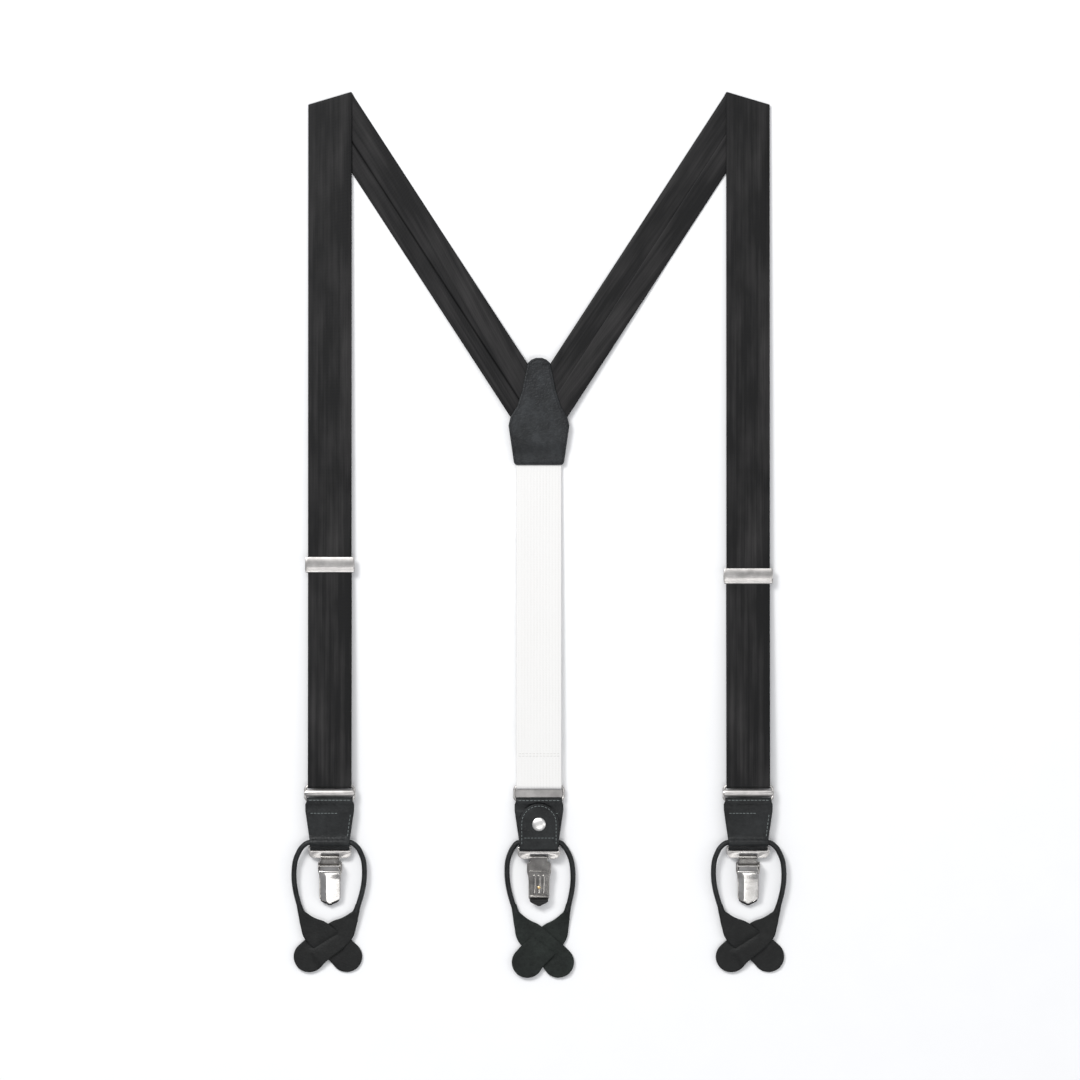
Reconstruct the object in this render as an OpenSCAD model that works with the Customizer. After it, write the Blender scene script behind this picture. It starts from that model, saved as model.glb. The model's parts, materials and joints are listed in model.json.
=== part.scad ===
// Dress suspenders laid flat: Y back with an elastic leg, two front straps
// with adjusters, and three ends that each carry a braided leather button
// loop and a removable metal clip.
//
// X runs across the straps, Y up the body, Z away from the surface it lies on.
// The origin is the middle of the footprint, on that surface.

/* [Straps] */
// Width of the satin straps
strap_w = 25; // [20:0.5:32]
// Thickness of one layer of satin strap
strap_t = 1; // [0.8:0.1:1.2]
// Length of a front strap from the shoulder fold to the middle of its ring
front_len = 398.5; // [330:0.5:480]
// Distance from the centre line to the middle of a front strap
side_spread = 120; // [95:1:150]
// Angle between a back strap and the elastic leg
back_angle = 33; // [26:1:40]

/* [Elastic leg] */
// Width of the elastic
elastic_w = 26; // [20:0.5:33]
// Thickness of the elastic
elastic_t = 1.2; // [0.8:0.1:1.2]
// Length of the elastic from the middle of the Y to the middle of its ring
elastic_len = 214; // [150:1:280]
// Length of the elastic that is folded back at the ring and sewn
elastic_hem = 20; // [10:1:30]

/* [Leather Y patch] */
// Thickness of each of the two leathers
patch_t = 1.1; // [0.8:0.1:1.5]
// Width at the widest point
patch_w = 35; // [32:0.5:48]
// Width of the lower edge
patch_base_w = 28.4; // [28:0.1:36]
// Width of the neck at the top
patch_neck_w = 12.8; // [10:0.1:16]
// Height of the top above the middle of the Y
patch_rise = 36; // [32:0.5:44]
// Depth of the lower edge below the middle of the Y
patch_fall = 25.5; // [25:0.5:36]

/* [Adjusters] */
// Distance of the left adjuster from the shoulder fold
adjuster_drop_left = 267.5; // [200:0.5:300]
// Distance of the right adjuster from the shoulder fold
adjuster_drop_right = 274; // [200:0.5:300]
// Height of the adjuster's front plate
adjuster_h = 9; // [7:0.5:14]
// Thickness of the adjuster's sheet metal
adjuster_t = 0.9; // [0.7:0.1:1.2]
// Diameter of the adjuster's rear bar
adjuster_bar_d = 1.4; // [1.2:0.1:2]
// Travel of an adjuster each way along its strap
adjuster_travel = 100; // [60:5:100]

/* [Rings] */
// Diameter of the two round bars
ring_bar_d = 1.8; // [1.5:0.1:2.4]
// Width of the flat band between the bars
ring_band = 4.4; // [3:0.1:6]
// Thickness of the side rails, seen from the front
ring_rail = 1.2; // [1:0.1:2]

/* [Leather tabs] */
// Thickness of the tab leather
tab_t = 1.2; // [1:0.1:1.5]
// Width of the tab below its ring
tab_top_w = 28; // [26:0.1:36]
// Width of the tab at its lower end
tab_base_w = 23; // [20:0.1:25]
// Distance from the middle of the ring to the cord's tunnel
tunnel_drop = 28.3; // [26:0.1:34]
// Width of the snap flap behind the tab
flap_w = 22.3; // [18:0.1:23]
// Diameter of the snap cap
snap_d = 7.8; // [6:0.1:10]
// Distance of the snap above the lower end of the flap
snap_rise = 13.2; // [11:0.1:16]

/* [Button loops] */
// Diameter of the rolled leather cord
cord_d = 3; // [2.5:0.1:3.4]
// Thickness of a flat tongue
tongue_t = 1.4; // [1:0.1:1.8]
// Radius of the round end of a tongue
lobe_r = 9; // [8:0.1:11]
// Half of the width of a tongue where the two cross
neck_r = 6.4; // [5:0.1:7.5]
// Length of the buttonhole in each tongue
buttonhole = 13; // [10:0.5:15]

/* [Clips] */
// Outer width of the wire bail
bail_w = 24.6; // [24:0.1:28]
// Height of the bail, bar to bar
bail_h = 5.7; // [5.5:0.1:8]
// Thickness of the clip's sheet metal
clip_t = 0.6; // [0.5:0.1:0.8]
// Width of the clip at its hinge
clip_w = 12.6; // [11:0.1:16]
// Length of the clip's back plate
clip_len = 22; // [20:0.5:30]
// Length of the lever from its pin
lever_len = 22.2; // [20:0.1:30]

/* [Hidden] */
ENDS = ["left", "right", "back"];
SIDES = ["left", "right"];

round_fn = 64;
cord_sides = 8;

// Colours
satin = [0.13, 0.13, 0.15];
elastic_white = [0.93, 0.92, 0.9];
black_leather = [0.1, 0.1, 0.11];
nickel = [0.78, 0.78, 0.8];
black_rubber = [0.06, 0.06, 0.06];

// Clearances
layer_gap = 0.12;   // between layers that lie on each other
run_gap = 0.05;     // radial, between a bar and what turns on it
rivet_gap = 0.02;   // radial, between a fixed pin and its hole
side_gap = 0.2;     // beside a part that turns between two walls
end_gap = 0.1;      // between two pieces that meet end to end
turn_gap = 0.3;     // beside leather or sheet metal that swings past another piece
floor_gap = 0.05;   // under the lowest point of an end

// Shoulder fold and Y
crease_angle = back_angle / 2;
y_fork = -side_spread / tan(back_angle);
y_back_ring = y_fork - elastic_len;
y_front_ring = -front_len;
back_len = side_spread / sin(back_angle);
crease_rise = strap_w / 2 * tan(crease_angle);

// Layers of the Y patch, from the surface up
z_elastic = patch_t + layer_gap + elastic_t / 2;
z_back_strap = z_elastic + elastic_t / 2 + layer_gap + strap_t / 2;
z_patch_front = z_back_strap + strap_t / 2 + layer_gap;
patch_round = 8.5;

// Layers at the shoulder fold
z_shoulder = layer_gap + strap_t / 2;
z_front_start = z_shoulder + strap_t + layer_gap;

// Layers at an adjuster
adjuster_bar_r = adjuster_bar_d / 2;
adjuster_sleeve = adjuster_bar_r + run_gap + strap_t;
z_adjuster_bar = layer_gap + adjuster_sleeve;
z_adjuster_run = z_adjuster_bar + adjuster_sleeve + layer_gap + strap_t / 2;
z_adjuster_plate = z_adjuster_run + strap_t / 2 + layer_gap;
adjuster_room = 0.6;    // beside the strap, between the cheeks
adjuster_inner = strap_w + 2 * adjuster_room;
adjuster_outer = adjuster_inner + 2 * adjuster_t + 2 * end_gap;
cheek_half = 2.4;
cheek_r = 1.5;
adjuster_ramp = 6;       // where the strap starts to rise to its way through
split_gap = 2;          // between the adjuster at the top of its travel and the split of the strap

// Ring, in the end's own frame: middle of the ring at the origin
bar_r = ring_bar_d / 2;
bar_sleeve = bar_r + run_gap;
thickest = max(strap_t, elastic_t, tab_t);
ring_bar_y = ring_band / 2 + layer_gap + bar_sleeve + thickest;
ring_inner = max(strap_w + 2, elastic_w + 1);
ring_outer = ring_inner + 2 * ring_rail;
fold_leg = 3;

// Leather tab
tab_fold_r = bar_sleeve + tab_t;
tab_fold_w = ring_inner - 2 * side_gap;
tab_shoulder = ring_bar_y + bar_r + turn_gap + run_gap;
tab_taper = [9.8, 27];
cord_r = cord_d / 2;
tunnel_r = cord_r + 2 * run_gap;
tunnel_wall = tunnel_r + tab_t;
bail_bar_r = 0.7;
bail_sleeve = bail_bar_r + run_gap;
bail_fold_r = bail_sleeve + tab_t;
bail_below = 2.85;      // the bail's bar below the cord
bail_drop = tunnel_drop + bail_below;
bail_z = -sqrt(pow(tunnel_wall + layer_gap / 2 + bail_sleeve, 2) - pow(bail_drop - tunnel_drop, 2));

// Snap flap
flap_inner = bail_z - bail_sleeve - run_gap;
flap_outer = flap_inner - tab_t;
flap_lift = 0.45;       // the flap's lower end above the bail's bar
flap_straight = 13.8;   // of the flap's sides, below its arch
flap_foot = bail_drop - flap_lift;
flap_arch = flap_foot - flap_straight;
snap_y = -(flap_foot - snap_rise);
cap_h = 1.1;
stud_r = 1.75;
post_r = 1;
socket_r = 4.2;
socket_bore = stud_r + turn_gap;
socket_floor = 0.3;
stud_h = -flap_inner - tab_t - socket_floor - turn_gap;

// Bail and clip
bail_arm = (bail_w - flap_w) / 2 - side_gap;
bail_t = 1.2;
bail_round = 3.5;
bail_foot_r = 0.6;
curl_w = 10;
curl_r = bail_foot_r + run_gap;
ear_gap = 0.3;
pin_r = 0.6;
pin_drop = 5;
pin_rise = 2.9;
knuckle_r = 1.5;
lever_t = 0.7;
lever_top = pin_rise + knuckle_r - lever_t / 2 + run_gap;
lever_shoulder = pin_drop + 3.1;
lever_foot = pin_drop + lever_len;
lever_w = clip_w - 0.6;
lever_tip_z = 1;
clip_tip_w = clip_w - 2.1;
ear_r = 2;
bead_r = 0.9;
bead_drop = 0.35;       // of the bead's middle below the back plate's
pad_start = 14;
pad_w = clip_w - 2;
pad_proud = 0.5;        // of the rubber beyond the lever's tip

// Loops: half width of the cord loop, half spread and drop of the tongue ends, lean
function loop_half(e) = e == "back" ? 18.9 : 20.2;
function lobe_half(e) = e == "back" ? 8.9 : 10.7;
function lobe_drop(e) = e == "back" ? 97 : 94.2;
function loop_lean(e) = e == "left" ? -0.018 : e == "right" ? 0.018 : -0.033;

// Height of the middle of each end above the surface
z_front_end = -flap_outer + cap_h + floor_gap;
z_back_end = max(tunnel_wall, bail_z + lever_top + bead_r) + 2 * floor_gap;
function end_z(e) = e == "back" ? z_back_end : z_front_end;
function loop_reach(e) = lobe_drop(e) + lobe_r - tunnel_drop;
function loop_tilt(e) = asin((end_z(e) - tongue_t - 2 * layer_gap) / loop_reach(e));
clip_lift = 0.6;        // of a front clip's tip above the surface
clip_slack = z_front_end + bail_z - curl_r - clip_t / 2 - bead_r - clip_lift;
function clip_tilt(e) = e == "back" ? 0 : asin(max(0, clip_slack) / clip_len);

// The footprint's middle in the frame whose origin is the shoulder fold
function end_foot(e) = tunnel_drop + loop_reach(e) * cos(loop_tilt(e))
    + tongue_t * sin(loop_tilt(e));
y_top = crease_rise;
y_bottom = min(y_front_ring - end_foot("left"), y_back_ring - end_foot("back"));
y_shift = -(y_top + y_bottom) / 2;

function side_sign(s) = s == "left" ? -1 : 1;
function drop(s) = s == "left" ? adjuster_drop_left : adjuster_drop_right;
function split(s) = drop(s) - adjuster_travel - adjuster_h / 2 - split_gap;
function run_z(s, y) = z_front_start
    + (z_adjuster_run - z_front_start) * -y / (drop(s) - adjuster_ramp);

// ---------- shared shapes ----------

module x_rod(r, len, y = 0, z = 0)
    translate([0, y, z]) rotate([0, 90, 0]) cylinder(r = r, h = len, center = true, $fn = round_fn);

module x_sleeve(r_out, r_in, len, y = 0, z = 0)
    difference() {
        x_rod(r_out, len, y, z);
        x_rod(r_in, len + 1, y, z);
    }

function unit(v) = v / norm(v);
function left_of(v) = [-v[1], v[0]];
function bisector(p, i) =
    let (n = len(p) - 1,
         a = i > 0 ? left_of(unit(p[i] - p[i - 1])) : left_of(unit(p[1] - p[0])),
         b = i < n ? left_of(unit(p[i + 1] - p[i])) : left_of(unit(p[n] - p[n - 1])))
    (a + b) / (1 + a * b);

// A strip of width w whose middle follows the points [y, z]
module ribbon(points, t, w) {
    n = len(points) - 1;
    outline = concat(
        [for (i = [0 : n]) points[i] + bisector(points, i) * t / 2],
        [for (i = [n : -1 : 0]) points[i] - bisector(points, i) * t / 2]);
    rotate([90, 0, 90]) linear_extrude(w, center = true) polygon(outline);
}

// A strip folded round the lower side of an X bar, with two legs up
module u_fold(r_in, t, w, leg) {
    difference() {
        x_rod(r_in + t, w);
        x_rod(r_in, w + 1);
        translate([-w, 0, -w]) cube(2 * w);
    }
    for (z = [r_in + t / 2, -r_in - t / 2])
        translate([-w / 2, 0, z - t / 2]) cube([w, leg, t]);
}

// The left and right halves of an outline whose right half is given from the top down
function mirrored(half) = concat([for (p = half) [-p[0], p[1]]],
    [for (i = [len(half) - 1 : -1 : 0]) half[i]]);

module plate(z_low, z_high) translate([0, 0, z_low]) linear_extrude(z_high - z_low) children();

module block(x, y_low, y_high, z_low, z_high)
    translate([-x / 2, y_low, z_low]) cube([x, y_high - y_low, z_high - z_low]);

// Rectangle with round corners, made of exact circles
module round_box(w, h, r) {
    square([w - 2 * r, h], center = true);
    square([w, h - 2 * r], center = true);
    for (x = [-1, 1], y = [-1, 1])
        translate([x * (w / 2 - r), y * (h / 2 - r)]) circle(r, $fn = round_fn);
}

// ---------- placing ----------

module laid() translate([0, y_shift, 0]) children();

module on_side(s) laid() translate([side_sign(s) * side_spread, 0, 0]) children();

module at_adjuster(s) on_side(s) translate([0, -drop(s), 0]) children();

// An end in its own frame; the back one is turned over
module at_end(e)
    laid()
        translate([e == "back" ? 0 : side_sign(e) * side_spread,
                   e == "back" ? y_back_ring : y_front_ring, end_z(e)])
            rotate([0, e == "back" ? 180 : 0, 0]) children();

module at_clip(e)
    at_end(e) translate([0, -bail_drop - bail_h, bail_z])
        rotate([clip_tilt(e), 0, 0]) children();

module at_loop(e)
    at_end(e) translate([0, -tunnel_drop, 0])
        rotate([e == "back" ? -loop_tilt(e) : loop_tilt(e), 0, 0]) children();

// ---------- straps ----------

// Everything below the shoulder fold of side s
module below_crease(s) {
    reach = 3 * strap_w;
    rotate([0, 0, -side_sign(s) * crease_angle])
        translate([-reach, -2 * back_len, -reach]) cube([2 * reach, 2 * back_len, 2 * reach]);
}

module strap_back(s) {
    lie_flat = 4 * strap_w;
    profile = [[strap_w, z_shoulder], [-lie_flat, z_shoulder],
               [-back_len + strap_w, z_back_strap], [-back_len - strap_w, z_back_strap]];
    inner = side_sign(s) * (end_gap / 2 - side_spread);
    color(satin) on_side(s) intersection() {
        rotate([0, 0, -side_sign(s) * back_angle]) ribbon(profile, strap_t, strap_w);
        below_crease(s);
        translate([side_sign(s) > 0 ? inner : inner - 2 * side_spread, -2 * back_len, -1])
            cube([2 * side_spread, 3 * back_len, 2 * z_patch_front]);
    }
}

module strap_front(s)
    color(satin) on_side(s) intersection() {
        ribbon([[strap_w, run_z(s, strap_w)], [-split(s), run_z(s, -split(s))]], strap_t, strap_w);
        below_crease(s);
    }

// The strap through the adjuster to the ring, and its end sewn back round the adjuster's bar
module strap_lower(s) {
    ring_leg = y_front_ring + ring_bar_y + fold_leg + end_gap;
    leg_z = bar_sleeve + strap_t / 2;
    z_return = layer_gap + strap_t / 2;
    run = [[-split(s) - end_gap, run_z(s, -split(s))],
           [-drop(s) + adjuster_ramp, z_adjuster_run],
           [-drop(s) - adjuster_ramp, z_adjuster_run],
           [ring_leg + 2 * fold_leg, z_front_end + leg_z],
           [ring_leg, z_front_end + leg_z]];
    returned = [[-drop(s), z_return],
                [-drop(s) - 2 * adjuster_ramp, z_return],
                [ring_leg + 2 * fold_leg, z_front_end - leg_z],
                [ring_leg, z_front_end - leg_z]];
    color(satin) on_side(s) {
        ribbon(run, strap_t, strap_w);
        difference() {
            union() {
                ribbon(returned, strap_t, strap_w);
                x_rod(adjuster_sleeve, strap_w, -drop(s), z_adjuster_bar);
            }
            x_rod(adjuster_bar_r + run_gap, strap_w + 1, -drop(s), z_adjuster_bar);
        }
    }
}

module strap_fold(s)
    color(satin) at_end(s) translate([0, ring_bar_y, 0])
        u_fold(bar_sleeve, strap_t, strap_w, fold_leg);

module elastic_strap() {
    tuck = 5;
    leg_z = bar_sleeve + elastic_t / 2;
    hem_top = y_back_ring + ring_bar_y + elastic_hem + end_gap;
    color(elastic_white) laid()
        ribbon([[y_fork + tuck, z_elastic], [y_fork - patch_fall - tuck, z_elastic],
                [hem_top + 10, z_back_end + leg_z], [hem_top, z_back_end + leg_z]],
               elastic_t, elastic_w);
}

module elastic_fold()
    color(elastic_white) at_end("back") translate([0, ring_bar_y, 0])
        u_fold(bar_sleeve, elastic_t, elastic_w, elastic_hem);

// ---------- Y patch ----------

module patch_outline() {
    corner_r = 1.7;
    shoulder = patch_rise - (patch_round - sqrt(pow(patch_round, 2) - pow(patch_neck_w / 2, 2)));
    half = [[patch_neck_w / 2, shoulder],
            [patch_neck_w / 2 + 3.4, 16.5],
            [patch_w / 2 - 5, 8.2],
            [patch_w / 2 - 1.2, 2.2],
            [patch_w / 2, -2.8],
            [patch_base_w / 2, -patch_fall + 2 * corner_r]];
    polygon(mirrored(half));
    intersection() {
        translate([0, patch_rise - patch_round]) circle(patch_round, $fn = round_fn);
        translate([-patch_neck_w / 2, shoulder - 1]) square([patch_neck_w, 2 * patch_round]);
    }
    translate([0, -patch_fall + 2 * corner_r]) round_box(patch_base_w, 4 * corner_r, corner_r);
}

module patch_back() color(black_leather) laid() translate([0, y_fork, 0])
    plate(0, patch_t) patch_outline();

module patch_front() color(black_leather) laid() translate([0, y_fork, 0])
    plate(z_patch_front, z_patch_front + patch_t) patch_outline();

// ---------- adjusters ----------

module adjuster_plate(s)
    color(nickel) at_adjuster(s) difference() {
        union() {
            plate(z_adjuster_plate, z_adjuster_plate + adjuster_t)
                round_box(adjuster_outer, adjuster_h, 1.5);
            for (x = [-1, 1]) translate([x * (adjuster_inner + adjuster_t) / 2, 0, 0]) {
                block(adjuster_t, -cheek_half, cheek_half, z_adjuster_bar,
                      z_adjuster_plate + adjuster_t / 2);
                x_rod(cheek_r, adjuster_t, 0, z_adjuster_bar);
            }
        }
        x_rod(adjuster_bar_r + rivet_gap, adjuster_outer + 1, 0, z_adjuster_bar);
    }

module adjuster_bar(s)
    color(nickel) at_adjuster(s) x_rod(adjuster_bar_r, adjuster_outer, 0, z_adjuster_bar);

// ---------- ring ----------

module ring(e) {
    crown = 0.6;
    face = bar_r + crown;
    crown_r = (pow(ring_band / 2, 2) + pow(crown, 2)) / (2 * crown);
    rail_h = ring_bar_d - 2 * end_gap;
    color(nickel) at_end(e) {
        for (y = [-1, 1]) x_rod(bar_r, ring_outer, y * ring_bar_y);
        for (x = [-1, 1]) translate([x * (ring_inner + ring_rail) / 2, 0, 0])
            block(ring_rail, -ring_bar_y, ring_bar_y, -rail_h / 2, rail_h / 2);
        intersection() {
            x_rod(crown_r, ring_outer, 0, face - crown_r);
            block(ring_outer, -ring_band / 2, ring_band / 2, 0, face);
        }
    }
}

// ---------- leather tab and snap ----------

// The side of the leather between the tunnel and the bail's fold
module tunnel_web() {
    a = [-tunnel_drop, 0];
    b = [-bail_drop, bail_z];
    d = norm(b - a);
    along = (b - a) / d;
    rise = (tunnel_wall - bail_fold_r) / d;
    tangent = along * rise - left_of(along) * sqrt(1 - rise * rise);
    rotate([90, 0, 90]) linear_extrude(flap_w, center = true)
        polygon([a, a + tangent * tunnel_wall, b + tangent * bail_fold_r, b]);
}

module tab(e) {
    half = [[tab_fold_w / 2, -ring_bar_y], [tab_fold_w / 2, -tab_shoulder],
            [tab_top_w / 2, -tab_shoulder], [tab_top_w / 2, -tab_taper[0]],
            [tab_base_w / 2, -tab_taper[1]], [tab_base_w / 2, -tunnel_drop]];
    color(black_leather) at_end(e) difference() {
        union() {
            x_rod(tab_fold_r, tab_fold_w, -ring_bar_y);
            plate(-tab_t, tab_t)
                polygon(mirrored(half));
            x_rod(tunnel_wall, tab_base_w, -tunnel_drop);
            x_rod(bail_fold_r, flap_w, -bail_drop, bail_z);
            tunnel_web();
        }
        x_rod(bar_sleeve, ring_outer, -ring_bar_y);
        x_rod(tunnel_r, ring_outer, -tunnel_drop);
        x_rod(bail_sleeve, ring_outer, -bail_drop, bail_z);
        block(ring_outer, -flap_foot - end_gap, 0, -ring_outer, bail_z - turn_gap);
    }
}

module snap_socket(e)
    color(nickel) at_end(e) translate([0, snap_y, 0])
        difference() {
            plate(flap_inner + layer_gap, -tab_t) circle(socket_r, $fn = round_fn);
            translate([0, 0, -ring_outer])
                cylinder(r = socket_bore, h = ring_outer - tab_t - socket_floor, $fn = round_fn);
        }

module flap(e)
    color(black_leather) at_end(e) difference() {
        plate(flap_outer, flap_inner) {
            translate([-flap_w / 2, -flap_foot]) square([flap_w, flap_foot - flap_arch]);
            translate([0, -flap_arch]) circle(flap_w / 2, $fn = round_fn);
        }
        translate([0, snap_y, flap_outer - 1])
            cylinder(r = post_r + rivet_gap, h = tab_t + 2, $fn = round_fn);
    }

module snap_cap(e) {
    dome_r = (pow(snap_d / 2, 2) + pow(cap_h, 2)) / (2 * cap_h);
    color(nickel) at_end(e) translate([0, snap_y, 0]) {
        intersection() {
            translate([0, 0, flap_outer - cap_h + dome_r]) sphere(dome_r, $fn = round_fn);
            plate(flap_outer - cap_h, flap_outer) circle(snap_d / 2, $fn = round_fn);
        }
        plate(flap_outer - 0.1, flap_inner + 0.5 * stud_h) circle(post_r, $fn = round_fn);
    }
}

module snap_stud(e)
    color(nickel) at_end(e) translate([0, snap_y, 0]) difference() {
        plate(flap_inner, flap_inner + stud_h) circle(stud_r, $fn = round_fn);
        translate([0, 0, flap_inner - 1])
            cylinder(r = post_r + rivet_gap, h = 1 + 0.5 * stud_h + rivet_gap, $fn = round_fn);
    }

// ---------- bail and clip ----------

module bail(e) {
    foot = bail_drop + bail_h;
    lower = foot + bail_foot_r;
    slot_top = bail_drop + bail_fold_r + side_gap;
    color(nickel) at_end(e) {
        x_rod(bail_bar_r, bail_w, -bail_drop, bail_z);
        x_rod(bail_foot_r, curl_w + 4 * side_gap, -foot, bail_z);
        plate(bail_z - bail_t / 2, bail_z + bail_t / 2) difference() {
            intersection() {
                translate([0, -bail_drop]) round_box(bail_w, 2 * (lower - bail_drop), bail_round);
                translate([-bail_w / 2, -lower]) square([bail_w, lower - bail_drop]);
            }
            translate([-bail_w / 2 + bail_arm, -slot_top])
                square([bail_w - 2 * bail_arm, slot_top]);
            translate([-curl_w / 2 - side_gap, -lower - 1])
                square([curl_w + 2 * side_gap, 1 + bail_foot_r + curl_r + clip_t + side_gap]);
        }
    }
}

module ear(x)
    translate([x, 0, 0]) difference() {
        union() {
            block(clip_t, -pin_drop - ear_r, -pin_drop + ear_r, -curl_r - clip_t, pin_rise);
            x_rod(ear_r, clip_t, -pin_drop, pin_rise);
        }
        x_rod(pin_r + rivet_gap, 2 * clip_t, -pin_drop, pin_rise);
    }

module clip_base(e) {
    hip = -pin_drop + ear_r + 0.4;
    waist = -pin_drop - 2 * ear_r;
    half = [[curl_w / 2, 0], [curl_w / 2, hip + 0.2], [clip_w / 2, hip], [clip_w / 2, waist],
            [clip_tip_w / 2, -clip_len]];
    color(nickel) at_clip(e) {
        x_sleeve(curl_r + clip_t, curl_r, curl_w);
        plate(-curl_r - clip_t, -curl_r) polygon(mirrored(half));
        for (side = [-1, 1]) ear(side * (clip_w - clip_t) / 2);
        x_rod(bead_r, clip_tip_w, -clip_len, -curl_r - clip_t / 2 - bead_drop);
    }
}

module clip_pin(e)
    color(nickel) at_clip(e) x_rod(pin_r, clip_w + 2 * side_gap, -pin_drop, pin_rise);

// Outline of the lever or its pad: a strip with a blunt point, from y_low up
module lever_outline(w, start, reach)
    polygon([[w / 2, -start], [w / 2, -reach + 4], [w / 4, -reach + 0.8], [0, -reach],
             [-w / 4, -reach + 0.8], [-w / 2, -reach + 4], [-w / 2, -start]]);

module clip_lever(e) {
    inside = clip_w - 2 * clip_t - 2 * ear_gap;
    color(nickel) at_clip(e) difference() {
        union() {
            x_rod(knuckle_r, inside, -pin_drop, pin_rise);
            block(inside, -lever_shoulder, -pin_drop, lever_top - lever_t / 2, lever_top + lever_t / 2);
            x_rod(bead_r, lever_w, -lever_shoulder, lever_top);
            intersection() {
                ribbon([[-lever_shoulder, lever_top], [-lever_foot - 2, lever_tip_z]], lever_t, clip_w);
                plate(-clip_w, clip_w) lever_outline(lever_w, lever_shoulder, lever_foot);
            }
        }
        x_rod(pin_r + run_gap, clip_w, -pin_drop, pin_rise);
    }
}

// The rubber jaw under the lever
module clip_pad(e) {
    foot = lever_foot + pad_proud;
    jaw = turn_gap - curl_r;
    slope = (lever_top - lever_tip_z) / (lever_foot + 2 - lever_shoulder);
    function under(y) = lever_top - (y - lever_shoulder) * slope - lever_t / 2 - run_gap / 2;
    color(black_rubber) at_clip(e) intersection() {
        rotate([90, 0, 90]) linear_extrude(clip_w, center = true)
            polygon([[-pad_start, under(pad_start)], [-foot, under(foot)], [-foot, jaw], [-pad_start, jaw]]);
        plate(-clip_w, clip_w) lever_outline(pad_w, pad_start, foot);
    }
}

// ---------- button loop ----------

// The loop's own frame has the tunnel's middle at the origin
function leaned(e, p) = [p[0] - loop_lean(e) * p[1], p[1]];

// Right half of the cord's route, as shares of the half width and millimetres down
half_route = [[0.78, -2.6], [0.88, -5.8], [0.97, -10.7], [1, -16.7], [0.99, -22.7],
              [0.94, -28.7], [0.86, -34.7], [0.77, -40.2]];
function cord_route(e) =
    let (out = tab_base_w / 2 + 2 * turn_gap,
         right = concat([[0, 0], [out, 0]],
                        [for (p = half_route) leaned(e, [p[0] * loop_half(e), p[1]])]),
         left = [for (p = half_route) leaned(e, [-p[0] * loop_half(e), p[1]])])
    concat([for (i = [len(left) - 1 : -1 : 0]) left[i]], [[-out, 0]], right);

module loop_cord(e) {
    route = cord_route(e);
    n = len(route);
    rings = [for (i = [0 : n - 1]) let (across = bisector(route, i))
        for (k = [0 : cord_sides - 1]) let (a = 360 * (k + 0.5) / cord_sides)
            [route[i][0] + across[0] * cord_r * cos(a), route[i][1] + across[1] * cord_r * cos(a),
             cord_r * sin(a)]];
    sides = [for (i = [0 : n - 2], k = [0 : cord_sides - 1])
        let (a = i * cord_sides + k, b = i * cord_sides + (k + 1) % cord_sides)
        [a, b, b + cord_sides, a + cord_sides]];
    first_cap = [for (k = [cord_sides - 1 : -1 : 0]) k];
    last_cap = [for (k = [0 : cord_sides - 1]) (n - 1) * cord_sides + k];
    color(black_leather) at_loop(e) polyhedron(rings, concat(sides, [first_cap, last_cap]));
}

// A tongue that starts at the cord end on side from and ends on the other side
module tongue_outline(e, from) {
    slit = 0.3;
    neck_share = 0.45;
    last = half_route[len(half_route) - 1];
    root = leaned(e, [from * last[0] * loop_half(e), last[1]]);
    lobe = leaned(e, [-from * lobe_half(e), -(lobe_drop(e) - tunnel_drop)]);
    neck = root + (lobe - root) * neck_share;
    way = unit(lobe - root);
    difference() {
        union() {
            hull() {
                translate(root) circle(cord_r, $fn = 24);
                translate(neck) circle(neck_r, $fn = 48);
            }
            hull() {
                translate(neck) circle(neck_r, $fn = 48);
                translate(lobe) circle(lobe_r, $fn = 48);
            }
        }
        translate(lobe) rotate(atan2(way[1], way[0])) square([buttonhole, slit], center = true);
    }
}

module tongue_slotted(e)
    color(black_leather) at_loop(e)
        plate(layer_gap, layer_gap + tongue_t) tongue_outline(e, 1);

module tongue_threaded(e)
    color(black_leather) at_loop(e)
        plate(-layer_gap - tongue_t, -layer_gap) tongue_outline(e, -1);

// ---------- nodes ----------

for (s = SIDES) {
    strap_back(s);
    strap_front(s);
    strap_lower(s);
    strap_fold(s);
    adjuster_plate(s);
    adjuster_bar(s);
}
elastic_strap();
elastic_fold();
patch_back();
patch_front();
for (e = ENDS) {
    ring(e);
    tab(e);
    snap_socket(e);
    flap(e);
    snap_cap(e);
    snap_stud(e);
    bail(e);
    clip_base(e);
    clip_pin(e);
    clip_lever(e);
    clip_pad(e);
    loop_cord(e);
    tongue_slotted(e);
    tongue_threaded(e);
}
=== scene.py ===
import json
import math

import bmesh
import bpy
from mathutils import Matrix, Vector


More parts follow.
